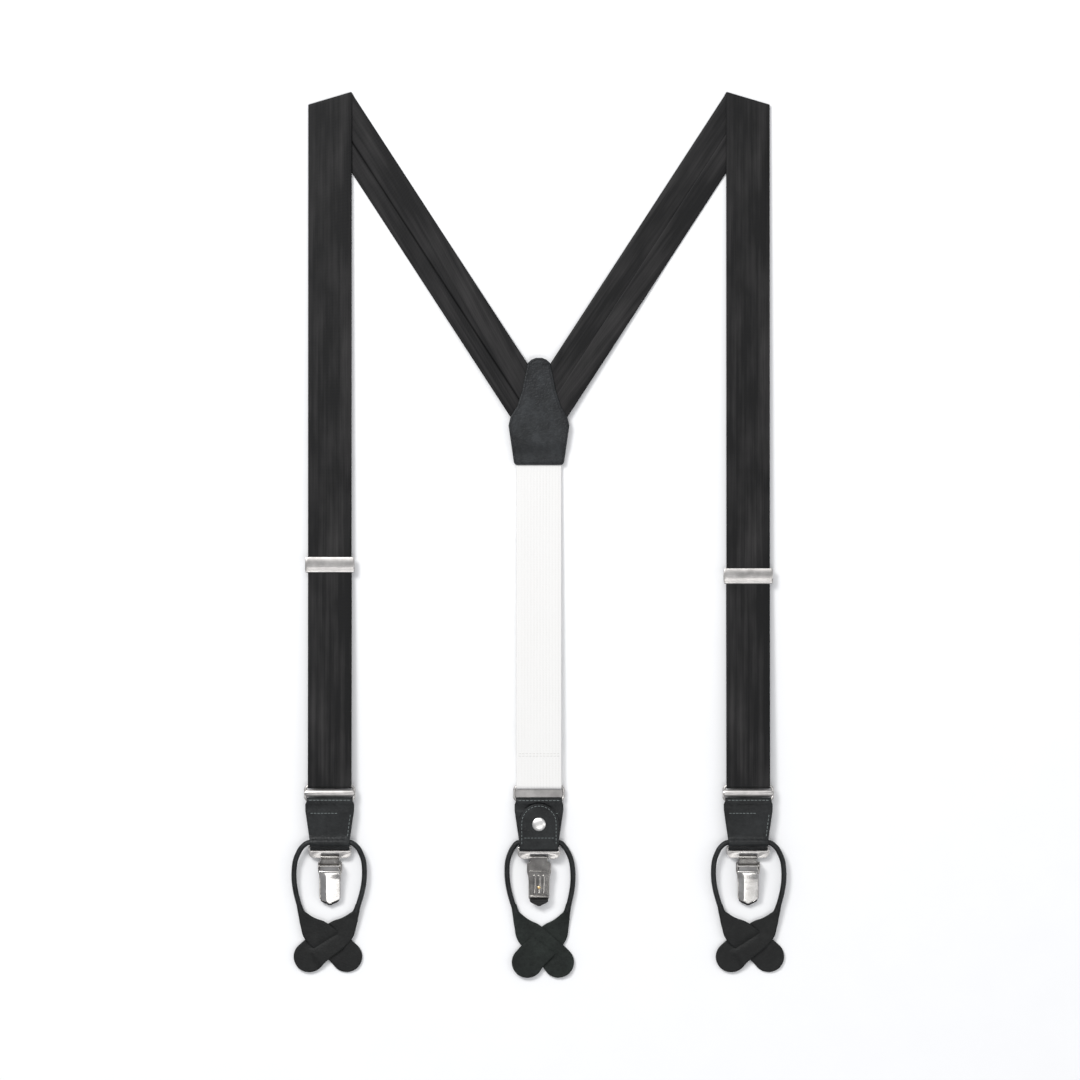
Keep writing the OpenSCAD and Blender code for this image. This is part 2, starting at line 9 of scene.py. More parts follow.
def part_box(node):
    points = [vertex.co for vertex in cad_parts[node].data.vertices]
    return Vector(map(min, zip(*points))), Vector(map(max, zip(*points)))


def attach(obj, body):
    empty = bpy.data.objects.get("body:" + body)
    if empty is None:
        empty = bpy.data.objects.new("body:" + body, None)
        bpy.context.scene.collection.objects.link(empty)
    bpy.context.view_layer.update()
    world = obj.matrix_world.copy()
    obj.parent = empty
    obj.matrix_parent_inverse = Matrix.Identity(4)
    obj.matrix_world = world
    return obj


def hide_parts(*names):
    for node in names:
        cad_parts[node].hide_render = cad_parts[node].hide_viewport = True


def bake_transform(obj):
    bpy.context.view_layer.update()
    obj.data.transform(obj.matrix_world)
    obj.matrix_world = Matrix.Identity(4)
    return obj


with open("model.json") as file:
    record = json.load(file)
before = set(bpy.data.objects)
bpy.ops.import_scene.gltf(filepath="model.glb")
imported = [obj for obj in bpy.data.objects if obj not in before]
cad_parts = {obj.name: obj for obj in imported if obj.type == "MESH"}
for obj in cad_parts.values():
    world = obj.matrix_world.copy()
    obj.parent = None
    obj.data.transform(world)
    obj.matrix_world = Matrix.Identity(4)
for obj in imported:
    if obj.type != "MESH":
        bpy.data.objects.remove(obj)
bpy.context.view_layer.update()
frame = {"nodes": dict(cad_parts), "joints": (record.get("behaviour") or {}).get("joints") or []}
mm = 0.001
xWay, yWay, zWay = Vector((1, 0, 0)), Vector((0, 1, 0)), Vector((0, 0, 1))
sides = ("left", "right")
ends = ("left", "right", "back")
joints = {j["name"]: j for j in frame["joints"]}
print("frame loaded")


# places, all in millimetres

def jointAt(name):
    return Vector(joints[name]["pos_m"]) / mm


def boxOf(node):
    low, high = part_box(node)
    return low / mm, high / mm


def middleOf(node):
    low, high = boxOf(node)
    return (low + high) / 2


def flatOf(p):
    return Vector((p.x, p.y, 0))


def halfOf(node):
    low, high = boxOf(node)
    return (high.x - low.x) / 2


shoulderAt = {s: jointAt("shoulder_fold_" + s) for s in sides}
strapHalf = halfOf("strap_front_left")
adjusterAt = {s: middleOf("adjuster_bar_" + s) for s in sides}
ringAt = {e: (jointAt("ring_turn_" + e) + jointAt("tab_turn_" + e)) / 2 for e in ends}
# from a ring's middle to each of its bars
barReach = (jointAt("ring_turn_left") - jointAt("tab_turn_left")).length / 2
tunnelY = jointAt("loop_turn_left").y - ringAt["left"].y
bailBar = jointAt("bail_turn_left") - ringAt["left"]
bailFoot = jointAt("clip_turn_left") - ringAt["left"]
# from the clip's own hinge
leverPin = {"y": -5.0, "z": 2.9}
# a front clip's tilt in degrees, and the middle of the tongues above the surface
lie = {"clipTilt": 1.823, "tongueMiddle": 1.64}
world = Matrix.Scale(mm, 4)


def turnedOver(e):
    return Matrix.Rotation(math.pi, 4, "Y") if e == "back" else Matrix.Identity(4)


# millimetres in an end's own frame, with its front side along +Z, to metres in the model
endPlace = {e: world @ Matrix.Translation(ringAt[e]) @ turnedOver(e) for e in ends}


def loopPlaceOf(e):
    at = jointAt("loop_turn_" + e)
    low = min(boxOf("tongue_slotted_" + e)[0].y, boxOf("tongue_threaded_" + e)[0].y)
    tilt = math.asin((at.z - lie["tongueMiddle"]) / (at.y - low))
    leaned = Matrix.Rotation(-tilt if e == "back" else tilt, 4, "X")
    return world @ Matrix.Translation(at) @ turnedOver(e) @ leaned


def clipPlaceOf(e):
    tilt = 0 if e == "back" else math.radians(lie["clipTilt"])
    leaned = Matrix.Rotation(tilt, 4, "X")
    return world @ Matrix.Translation(jointAt("clip_turn_" + e)) @ turnedOver(e) @ leaned


loopPlace = {e: loopPlaceOf(e) for e in ends}
clipPlace = {e: clipPlaceOf(e) for e in ends}


# shaping

def newShape():
    return {"points": [], "faces": [], "uvs": []}


def addLoft(shape, rings, closed=False, vStart=0.0, caps=True):
    # quads between rings of points, with UV as the way round and the way along, in metres
    base = len(shape["points"])
    count = len(rings[0])
    for ring in rings:
        shape["points"] += ring
    along = [vStart]
    for a, b in zip(rings, rings[1:] + rings[:1]):
        along.append(along[-1] + (sum(b, Vector()) - sum(a, Vector())).length / count)
    around = []
    for ring in rings:
        way = [0.0]
        for k in range(count):
            way.append(way[-1] + (ring[(k + 1) % count] - ring[k]).length)
        around.append(way)
    around.append(around[0])
    for i in range(len(rings) if closed else len(rings) - 1):
        j = (i + 1) % len(rings)
        for k in range(count):
            n = (k + 1) % count
            this, that = base + i * count, base + j * count
            shape["faces"].append([this + k, this + n, that + n, that + k])
            corners = ((i, k), (i, k + 1), (i + 1, k + 1), (i + 1, k))
            shape["uvs"].append([(around[a][b] * mm, along[a] * mm) for a, b in corners])
    if caps and not closed:
        for ring, first in ((rings[0], base), (rings[-1], base + (len(rings) - 1) * count)):
            shape["faces"].append(list(range(first, first + count)))
            shape["uvs"].append([(p.x * mm, p.y * mm) for p in ring])


def makePiece(name, shape, material, place, sharp=40):
    mesh = bpy.data.meshes.new(name)
    mesh.from_pydata([place @ p for p in shape["points"]], [], shape["faces"])
    layer = mesh.uv_layers.new(name="way")
    flat = [c for face in shape["uvs"] for uv in face for c in uv]
    layer.data.foreach_set("uv", flat)
    work = bmesh.new()
    work.from_mesh(mesh)
    bmesh.ops.recalc_face_normals(work, faces=work.faces)
    work.to_mesh(mesh)
    work.free()
    mesh.polygons.foreach_set("use_smooth", [True] * len(mesh.polygons))
    mesh.set_sharp_from_angle(angle=math.radians(sharp))
    mesh.materials.append(material)
    piece = bpy.data.objects.new(name, mesh)
    bpy.context.collection.objects.link(piece)
    return piece


def finePath(points, step):
    fine = [points[0]]
    for a, b in zip(points, points[1:]):
        parts = max(1, math.ceil((b - a).length / step))
        fine += [a.lerp(b, k / parts) for k in range(1, parts + 1)]
    return fine


def sidePath(x, places, step):
    # a fine path through (y, z) places
    return finePath([Vector((x, y, z)) for y, z in places], step)


def circlePoints(centre, a, b, r, count):
    angles = [2 * math.pi * k / count for k in range(count)]
    return [centre + a * (r * math.cos(t)) + b * (r * math.sin(t)) for t in angles]


def arcPoints(x, y, z, r, start, stop, steps):
    # an arc in the YZ plane, where 0 degrees is +Y and 90 is +Z
    angles = [math.radians(start + (stop - start) * k / steps) for k in range(steps + 1)]
    return [Vector((x, y + r * math.cos(a), z + r * math.sin(a))) for a in angles]


def slabSection(halfWidth, halfThick, columns):
    edge = min(halfThick, halfWidth * 0.6)
    corner = [(0, 0), (0.12, 0.5), (0.45, 0.87), (1, 1)]
    left = [(-halfWidth + edge * a, halfThick * b) for a, b in corner]
    middle = [(c * (halfWidth - edge), halfThick) for c in columns]
    top = left + middle + [(-u, w) for u, w in reversed(left)]
    return top + [(u, -w) for u, w in reversed(top[1:-1])]


evenColumns = [-0.75, -0.5, -0.25, 0, 0.25, 0.5, 0.75]


def tangentAt(path, i, closed):
    before = path[i - 1] if i or closed else path[0]
    after = path[(i + 1) % len(path)] if i < len(path) - 1 or closed else path[-1]
    return (after - before).normalized()


def addStrip(shape, path, across, halfWidth, halfThick, columns=evenColumns, shear=(0, 0), relief=None,
             closed=False, vStart=0.0):
    # a flat strip along a path, where halfWidth may be a function of the place on the path
    ways = [0.0]
    for a, b in zip(path, path[1:]):
        ways.append(ways[-1] + (b - a).length)
    length = ways[-1]
    rings = []
    for i, centre in enumerate(path):
        tangent = tangentAt(path, i, closed)
        normal = tangent.cross(across).normalized()
        half = halfWidth(centre) if callable(halfWidth) else halfWidth
        slant = shear[0] * (1 - ways[i] / length) + shear[1] * ways[i] / length
        ring = []
        for u, w in slabSection(half, halfThick, columns):
            if relief and w > 0.9 * halfThick:
                w += relief(u, centre)
            ring.append(centre + across * u + tangent * (slant * u) + normal * w)
        rings.append(ring)
    addLoft(shape, rings, closed, vStart)


def addTube(shape, path, radius, around=16, closed=False):
    # a round bar along a path that lies level
    rings = []
    for i, centre in enumerate(path):
        out = tangentAt(path, i, closed).cross(zWay).normalized()
        r = radius(centre) if callable(radius) else radius
        rings.append(circlePoints(centre, out, zWay, r, around))
    addLoft(shape, rings, closed)


def addRod(shape, x0, x1, y, z, radius, soft=0.25, around=20):
    # a rod along X with softened ends
    stations = [(x0, radius - soft), (x0 + soft * 0.3, radius - soft * 0.3), (x0 + soft, radius),
                (x1 - soft, radius), (x1 - soft * 0.3, radius - soft * 0.3), (x1, radius - soft)]
    addLoft(shape, [circlePoints(Vector((x, y, z)), yWay, zWay, r, around) for x, r in stations])


def insetOutline(outline, inset):
    # moves each corner of an anticlockwise outline inwards
    moved = []
    for i, p in enumerate(outline):
        a = (p - outline[i - 1]).normalized()
        b = (outline[(i + 1) % len(outline)] - p).normalized()
        left = Vector((-a.y - b.y, a.x + b.x))
        size = left.length
        if size < 1e-6:
            moved.append(p)
            continue
        left /= size
        lean = max(0.5, left.dot(Vector((-a.y, a.x))))
        moved.append(p + left * (inset / lean))
    return moved


def addPlate(shape, outline, profile, lift, rungs=False):
    # rings of an outline at (inset, height), where lift turns a point and a height into a place
    # with rungs, the faces run from side to side of a symmetric outline, so that it may bend
    rings = [[lift(p, h) for p in insetOutline(outline, inset)] for inset, h in profile]
    addLoft(shape, rings, caps=not rungs)
    count = len(outline)
    if rungs:
        last = len(shape["points"]) - count
        for first in (last, last - (len(profile) - 1) * count):
            for k in range(count // 2 - 1):
                face = [first + k, first + k + 1, first + count - 2 - k, first + count - 1 - k]
                shape["faces"].append(face)
                corners = [shape["points"][i] for i in face]
                shape["uvs"].append([(p.x * mm, p.y * mm) for p in corners])


def eased(value, start, end):
    share = min(1, max(0, (value - start) / (end - start)))
    return share * share * (3 - 2 * share)


def roundedPlate(low, high, soft):
    return [(soft, low), (soft * 0.3, low + soft * 0.3), (0, low + soft), (0, high - soft),
            (soft * 0.3, high - soft * 0.3), (soft, high)]


def roundCorners(corners, steps=5):
    # corners are (x, y, radius) of an anticlockwise outline
    outline = []
    for i, (x, y, r) in enumerate(corners):
        p = Vector((x, y))
        a = (Vector(corners[i - 1][:2]) - p).normalized()
        b = (Vector(corners[(i + 1) % len(corners)][:2]) - p).normalized()
        if r == 0:
            outline.append(p)
            continue
        half = a.angle(b) / 2
        reach = r / math.tan(half)
        centre = p + (a + b).normalized() * (r / math.sin(half))
        first = p + a * reach - centre
        last = p + b * reach - centre
        turn = first.angle_signed(last)
        for k in range(steps + 1):
            c = math.cos(-turn * k / steps)
            s = math.sin(-turn * k / steps)
            outline.append(centre + Vector((first.x * c - first.y * s, first.x * s + first.y * c)))
    return outline


def addStitches(shape, a, b, up, pitch=2.3, length=1.6, radius=0.2):
    # a row of short threads that sink into the surface at their ends
    run = b - a
    count = max(1, round(run.length / pitch))
    way = run.normalized()
    side = way.cross(up)
    for i in range(count):
        middle = a + run * ((i + 0.5) / count)
        rings = []
        for share in (-1, -0.7, 0, 0.7, 1):
            r = radius * (0.35 if abs(share) == 1 else 1)
            centre = middle + way * (share * length / 2) + up * (radius * (0.35 - 0.9 * share * share))
            rings.append(circlePoints(centre, side, up, r, 6))
        addLoft(shape, rings)


def addTurned(shape, centre, profile, steps):
    # a turned piece: (radius, height) round an upright axis
    addLoft(shape, [circlePoints(centre + zWay * h, xWay, yWay, r, steps) for r, h in profile])


# materials

def newMaterial(name):
    material = bpy.data.materials.new(name)
    material.use_nodes = True
    return material, material.node_tree, material.node_tree.nodes["Principled BSDF"]


def addNode(tree, kind, settings=None, **inputs):
    made = tree.nodes.new("ShaderNode" + kind)
    for key, value in (settings or {}).items():
        setattr(made, key, value)
    for key, value in inputs.items():
        number = key[1:]
        numbered = key[0] == "n" and number.isdigit()
        socket = made.inputs[int(number) if numbered else key.replace("_", " ")]
        if isinstance(value, bpy.types.NodeSocket):
            tree.links.new(value, socket)
        else:
            socket.default_value = value
    return made


def addRamp(tree, value, stops):
    ramp = addNode(tree, "ValToRGB", Fac=value)
    elements = ramp.color_ramp.elements
    while len(elements) < len(stops):
        elements.new(0.5)
    for element, (place, colour) in zip(elements, stops):
        element.position = place
        element.color = (*colour, 1)
    return ramp.outputs["Color"]


def stretched(tree, source, scale=(1, 1, 1)):
    coordinates = addNode(tree, "TexCoord")
    return addNode(tree, "Mapping", Vector=coordinates.outputs[source], Scale=scale).outputs["Vector"]


def mapRange(tree, value, low, high):
    return addNode(tree, "MapRange", Value=value, To_Min=low, To_Max=high).outputs["Result"]


def addNoise(tree, source="Object", stretch=(1, 1, 1), **settings):
    return addNode(tree, "TexNoise", Vector=stretched(tree, source, stretch), **settings).outputs["Fac"]


def addWave(tree, bands, **settings):
    way = stretched(tree, "UV")
    return addNode(tree, "TexWave", {"bands_direction": bands}, Vector=way, **settings).outputs["Fac"]


def addMath(tree, kind, *values):
    inputs = {"n" + str(i): value for i, value in enumerate(values)}
    return addNode(tree, "Math", {"operation": kind}, **inputs).outputs["Value"]


def addBump(tree, height, strength, distance, **more):
    bump = addNode(tree, "Bump", Strength=strength, Distance=distance, Height=height, **more)
    return bump.outputs["Normal"]


def dress(tree, shader, colour, roughness, normal):
    tree.links.new(colour, shader.inputs["Base Color"])
    tree.links.new(roughness, shader.inputs["Roughness"])
    tree.links.new(normal, shader.inputs["Normal"])


def setValues(shader, **values):
    for name, value in values.items():
        shader.inputs[name.replace("_", " ")].default_value = value


# dark and light are the two ends of the satin's streak colours, which are painted sheen
satinLook = {"dark": (0.002, 0.0019, 0.0021), "light": (0.026, 0.0245, 0.0245), "roughness": (0.4, 0.62),
             "ribs": 1500, "ribDepth": 0.12}


def makeSatin():
    material, tree, shader = newMaterial("blackSatin")
    # the lengthwise streaks in the base colour are painted sheen of the satin, mixed with random tone from
    # the cloud noise; the streaks also vary the roughness
    sheenStreaks = addNoise(tree, "UV", (420, 9, 1), Scale=1, Detail=6, Roughness=0.62)
    cloud = addNoise(tree, "UV", (60, 22, 1), Scale=1, Detail=3)
    sheenAndCloud = addMath(tree, "MULTIPLY", sheenStreaks, cloud)
    colour = addRamp(tree, sheenAndCloud, [(0.19, satinLook["dark"]), (0.42, satinLook["light"])])
    threads = addWave(tree, "X", Scale=satinLook["ribs"] / 6.28, Distortion=0.6, Detail=2)
    crossed = addWave(tree, "Y", Scale=satinLook["ribs"] / 9, Distortion=0.4)
    weave = addMath(tree, "MULTIPLY_ADD", threads, 0.7, crossed)
    fine = addBump(tree, weave, satinLook["ribDepth"], 0.00008)
    soft = addBump(tree, sheenAndCloud, 0.5, 0.0004, Normal=fine)
    dress(tree, shader, colour, mapRange(tree, sheenStreaks, *satinLook["roughness"]), soft)
    setValues(shader, Sheen_Weight=0.04, Sheen_Roughness=0.5, Specular_IOR_Level=0.22)
    return material


elasticLook = {"colour": (0.84, 0.83, 0.81), "shade": (0.74, 0.73, 0.7), "ribPitch": 0.9}


def makeElastic():
    material, tree, shader = newMaterial("whiteElastic")
    ribs = addWave(tree, "X", Scale=1000 / elasticLook["ribPitch"] / 3.1416 / 2, Distortion=0.15, Detail=1)
    picks = addWave(tree, "Y", Scale=330, Distortion=0.5)
    patches = addNoise(tree, "UV", (70, 30, 1), Scale=1, Detail=4)
    both = addMath(tree, "MULTIPLY_ADD", picks, 0.35, ribs)
    tone = addMath(tree, "MULTIPLY_ADD", patches, 0.8, both)
    colour = addRamp(tree, tone, [(0.1, elasticLook["shade"]), (0.75, elasticLook["colour"])])
    dress(tree, shader, colour, mapRange(tree, patches, 0.7, 0.85), addBump(tree, both, 0.45, 0.00018))
    setValues(shader, Sheen_Weight=0.15)
    return material


def makeLeather(name, dark, light, grain, depth, roughness):
    material, tree, shader = newMaterial(name)
    pebbles = addNode(tree, "TexVoronoi", {"feature": "SMOOTH_F1"}, Scale=grain, Randomness=0.95,
                      Vector=stretched(tree, "Object")).outputs["Distance"]
    creases = addNoise(tree, Scale=grain * 0.35, Detail=7, Roughness=0.65)
    worn = addNoise(tree, Scale=90, Detail=4)
    height = addMath(tree, "MULTIPLY_ADD", creases, 0.9, pebbles)
    colour = addRamp(tree, addMath(tree, "MULTIPLY", creases, worn), [(0.12, dark), (0.42, light)])
    dress(tree, shader, colour, mapRange(tree, worn, *roughness), addBump(tree, height, depth, 0.00025))
    setValues(shader, Specular_IOR_Level=0.3)
    return material


def makeMetal(name, base, tint, roughness):
    material, tree, shader = newMaterial(name)
    smudge = addNoise(tree, Scale=160, Detail=5, Roughness=0.6)
    fine = addNoise(tree, stretch=(1, 6, 1), Scale=900, Detail=2)
    colour = addRamp(tree, smudge, [(0.3, base), (0.7, tint)])
    dress(tree, shader, colour, mapRange(tree, smudge, *roughness), addBump(tree, fine, 0.06, 0.00006))
    setValues(shader, Metallic=1)
    return material


def makeThread(name, dark, light):
    material, tree, shader = newMaterial(name)
    twist = addNoise(tree, Scale=2500, Detail=3)
    colour = addRamp(tree, twist, [(0.3, dark), (0.7, light)])
    dress(tree, shader, colour, mapRange(tree, twist, 0.65, 0.85), addBump(tree, twist, 0.5, 0.0001))
    return material


satin = makeSatin()
elastic = makeElastic()
leather = makeLeather("blackLeather", (0.0035, 0.004, 0.0042), (0.017, 0.019, 0.0195), 800, 0.8,
                      (0.34, 0.52))
suede = makeLeather("leatherFleshSide", (0.006, 0.0078, 0.0067), (0.021, 0.0262, 0.0228), 1300, 0.8,
                    (0.72, 0.9))
patchLeather = makeLeather("patchLeather", (0.007, 0.0078, 0.0085), (0.029, 0.032, 0.0345), 1000, 1,
                           (0.4, 0.6))
tongueLeather = makeLeather("tongueLeather", (0.0025, 0.0028, 0.0026), (0.0105, 0.011, 0.0104), 1000, 0.7,
                            (0.5, 0.66))
nickel = makeMetal("polishedNickel", (0.43, 0.415, 0.395), (0.62, 0.605, 0.585), (0.1, 0.25))
brushedNickel = makeMetal("brushedNickel", (0.4, 0.385, 0.37), (0.58, 0.56, 0.54), (0.27, 0.4))
# a darker copy of nickel for the clip bases: its dark base colour is painted shade, standing in for the
# dark reflection on the clip plate
shadedNickel = makeMetal("shadedNickel", (0.2, 0.19, 0.18), (0.38, 0.365, 0.345), (0.16, 0.3))
# a paler copy of nickel for the snap caps: its bright base colour is painted highlight on the domed cap
highlightNickel = makeMetal("capHighlightNickel", (0.72, 0.705, 0.68), (0.86, 0.85, 0.83), (0.3, 0.38))
brass = makeMetal("brassRivet", (0.55, 0.36, 0.16), (0.7, 0.5, 0.24), (0.2, 0.35))
rubber = makeLeather("blackRubber", (0.012, 0.012, 0.012), (0.024, 0.024, 0.024), 2600, 0.2, (0.6, 0.75))
paleThread = makeThread("paleThread", (0.085, 0.1, 0.098), (0.24, 0.27, 0.265))
darkThread = makeThread("darkThread", (0.01, 0.01, 0.011), (0.04, 0.04, 0.044))
whiteThread = makeThread("whiteThread", (0.62, 0.61, 0.58), (0.76, 0.75, 0.72))
print("materials made")


# camera, light and floor

stageLook = {"distance": 2.5, "lens": 145, "aim": (0.0006, -0.0028), "floor": (0.94, 0.94, 0.94),
             "sky": (0.93, 0.95, 1, 1), "skyStrength": 0.42}


def makeFloor():
    bpy.ops.mesh.primitive_grid_add(x_subdivisions=8, y_subdivisions=8, size=9)
    floor = bpy.context.object
    floor.name = "paleFloor"
    material, tree, shader = newMaterial("palePaper")
    pale = stageLook["floor"]
    shades = [(0.3, tuple(c * 0.99 for c in pale)), (0.7, pale)]
    tree.links.new(addRamp(tree, addNoise(tree, Scale=40, Detail=3), shades), shader.inputs["Base Color"])
    setValues(shader, Roughness=0.95, Specular_IOR_Level=0.05)
    floor.data.materials.append(material)


def addSoftbox(name, place, aim, size, power):
    light = bpy.data.lights.new(name, "AREA")
    light.shape = "RECTANGLE"
    light.size, light.size_y = size
    light.energy = power
    box = bpy.data.objects.new(name, light)
    box.location = place
    box.rotation_mode = "QUATERNION"
    box.rotation_quaternion = (Vector(aim) - Vector(place)).to_track_quat("-Z", "Y")
    bpy.context.collection.objects.link(box)


def makeStage():
    makeFloor()
    addSoftbox("keySoftbox", (-1.0, 1.1, 1.8), (0, 0, 0), (0.7, 0.7), 30)
    addSoftbox("fillSoftbox", (1.6, -0.3, 1.6), (0, 0, 0), (0.6, 1.6), 6)
    addSoftbox("frontSoftbox", (0.2, -1.1, 2.5), (0, -0.1, 0), (1.5, 0.5), 10)
    addSoftbox("backSoftbox", (0.0, 1.35, 2.4), (0, 0.1, 0), (1.5, 1.1), 13)
    room = bpy.data.worlds.new("softRoom")
    bpy.context.scene.world = room
    room.use_nodes = True
    setValues(room.node_tree.nodes["Background"], Color=stageLook["sky"], Strength=stageLook["skyStrength"])
    lens = bpy.data.cameras.new("camera")
    lens.lens = stageLook["lens"]
    lens.sensor_width = 36
    camera = bpy.data.objects.new("camera", lens)
    camera.location = (*stageLook["aim"], stageLook["distance"])
    bpy.context.collection.objects.link(camera)
    bpy.context.scene.camera = camera
    bpy.context.scene.view_settings.view_transform = "Standard"
    print("stage set")


makeStage()


# satin straps

strapLook = {"thick": 1.0, "foldThick": 0.97, "overlap": 1.2, "ringGap": 0.95, "barGap": 0.75}
seamAt = {"left": -2.8, "right": 0.4}
seamDepth = {"left": 0.4, "right": 0.12}
# heights of the strap's middle, how far it runs flat, and its height over the adjuster's bar
strapZ = {"shoulder": 0.62, "frontStart": 1.74, "patch": 3.04, "flatRun": 100.0, "overBar": 2.37}
creaseR = (strapZ["frontStart"] - strapZ["shoulder"]) / 2
forkY = boxOf("patch_front")[1].y - 36


def creaseOf(s):
    # along the crease, and outwards from it, in the plane of the floor
    axis = Vector(joints["shoulder_fold_" + s]["axis"])
    along = axis if axis.x > 0 else -axis
    return along.normalized(), Vector((-along.y, along.x, 0)).normalized()


def backWay(s):
    # from the shoulder down to the fork
    down = Vector((0, forkY, 0)) - flatOf(shoulderAt[s])
    return down.normalized(), down.length


def upTo(way):
    return Vector((-way.y, way.x, 0))


def seamRelief(seam, depth):
    def relief(u, centre):
        return -depth * math.exp(-((u - seam) / 0.28) ** 2) + (0.05 if u < seam else 0)
    return relief


def seamColumns(seam, half):
    near = [(seam + d) / half for d in (-0.9, -0.45, -0.2, 0, 0.2, 0.45, 0.9)]
    return sorted([c for c in (-0.8, -0.5, -0.25, 0.25, 0.5, 0.8) if abs(c - seam / half) > 0.1] + near)


def makeBackStrap(s):
    way, length = backWay(s)
    across = upTo(way)
    along, out = creaseOf(s)
    start = flatOf(shoulderAt[s]) - out * creaseR
    corner = 2 * strapHalf

    flat, low, high = strapZ["flatRun"], strapZ["shoulder"], strapZ["patch"]
    reach = -start.x / way.x
    path = []
    for k in range(91):
        d = reach * k / 90
        share = min(1, max(0, d - flat) / (length - corner - flat))
        path.append(start + way * d + zWay * (low + (high - low) * share))
    shear = (along.dot(way) / along.dot(across), -across.x / way.x)
    shape = newShape()
    addStrip(shape, path, across, strapHalf, strapLook["thick"] / 2,
             seamColumns(seamAt[s], strapHalf - 0.5), shear, seamRelief(seamAt[s], seamDepth[s]))
    piece = makePiece("backStrap_" + s, shape, satin, world)
    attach(piece, "root")
    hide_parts("strap_back_" + s)


def makeShoulderFold(s):
    way = backWay(s)[0]
    along, out = creaseOf(s)
    centre = shoulderAt[s] - out * creaseR
    # towards the crease, on the lower layer
    up = -way
    across = upTo(way)
    # a turn of None is a layer's end, past the bend
    turns = [*range(-90, 0, 15), -9, -6, -3, -1, 1, 3, 6, 9, *range(15, 91, 15)]
    half = strapHalf - 0.03
    thick = strapLook["foldThick"] / 2
    rings = []
    for turn in [None, *turns, None]:
        early = turn is None and not rings
        angle = math.radians(-90 if early else 90 if turn is None else turn)
        past = strapLook["overlap"] if turn is None else 0
        flat = 2 * creaseR * angle / math.pi - (past if early else -past)
        ring = []
        for u, w in slabSection(half, thick, evenColumns):
            t = (flat - u * across.dot(out)) / up.dot(out)
            a = u * across.dot(along) + t * up.dot(along)
            r = creaseR + w
            place = centre + along * a + out * (r * math.cos(angle) - past)
            ring.append(place + zWay * (r * math.sin(angle)))
        rings.append(ring)
    shape = newShape()
    addLoft(shape, rings)
    piece = makePiece("shoulderFold_" + s, shape, satin, world)
    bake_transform(piece)
    return piece


def runHeight(s, y):
    # the front strap's middle between the shoulder and the adjuster
    low = adjusterAt[s]
    run = low.z + strapZ["overBar"]
    share = (shoulderAt[s].y - y) / (shoulderAt[s].y - low.y - 6)
    return strapZ["frontStart"] + (run - strapZ["frontStart"]) * share


def makeFrontStrap(s):
    along, out = creaseOf(s)
    way = Vector((0, -1, 0))
    split = boxOf("strap_lower_" + s)[1].y
    top = shoulderAt[s].y - creaseR / out.y
    x = shoulderAt[s].x
    stations = [top + (split - top) * k / 60 for k in range(61)]
    path = [Vector((x, y, runHeight(s, y))) for y in stations]
    shape = newShape()
    addStrip(shape, path, upTo(way), strapHalf, strapLook["thick"] / 2, shear=(along.dot(way) / along.x, 0))
    piece = makePiece("frontStrap_" + s, shape, satin, world)
    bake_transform(piece)
    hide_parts("strap_front_" + s)
    return split, top - split


def makeLowerStrap(s, split, vStart):
    x, yBar, zBar = adjusterAt[s]
    ring = ringAt[s]
    yRing, zRing = ring.y + barReach, ring.z
    halfThick = strapLook["thick"] / 2
    fold, sleeve = strapLook["ringGap"] + halfThick, strapLook["barGap"] + halfThick
    over, low = zBar + strapZ["overBar"], zBar - sleeve
    run = [(split, runHeight(s, split)), (yBar + 6, over), (yBar - 6, over), (yRing + 9, zRing + fold),
           (yRing + 0.5, zRing + fold)]
    back = [(yRing + 0.5, zRing - fold), (yRing + 9, zRing - fold), (yBar - 12, low), (yBar - 0.4, low)]
    tail = [(yBar - 3, zBar + sleeve - 0.25), (yBar - 10, low + 1.12), (yBar - 22, low + 1.45)]
    path = sidePath(x, run, 3) + arcPoints(x, yRing, zRing, fold, 90, 270, 14) + sidePath(x, back, 3)
    path += arcPoints(x, yBar, zBar, sleeve, -90, 90, 12) + sidePath(x, tail, 1.5)
    shape = newShape()
    addStrip(shape, path, xWay, strapHalf, halfThick - 0.01, vStart=vStart)
    strap = makePiece("lowerStrap_" + s, shape, satin, world)
    threads = newShape()
    for y in (yBar - 14, yBar - 18):
        addStitches(threads, Vector((x - 10, y, low - 0.5)), Vector((x + 10, y, low - 0.5)), -zWay)
    stitches = makePiece("strapStitches_" + s, threads, darkThread, world)
    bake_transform(strap)
    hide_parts("strap_lower_" + s, "strap_fold_" + s)
    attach(stitches, "adjuster_" + s)


for s in sides:
    makeBackStrap(s)
    makeShoulderFold(s)
    splitAt, used = makeFrontStrap(s)
    makeLowerStrap(s, splitAt, used)
print("straps made")


# elastic leg

legLook = {"thick": 1.2, "atPatch": 1.82, "hem": 20.0, "ringGap": 0.95}


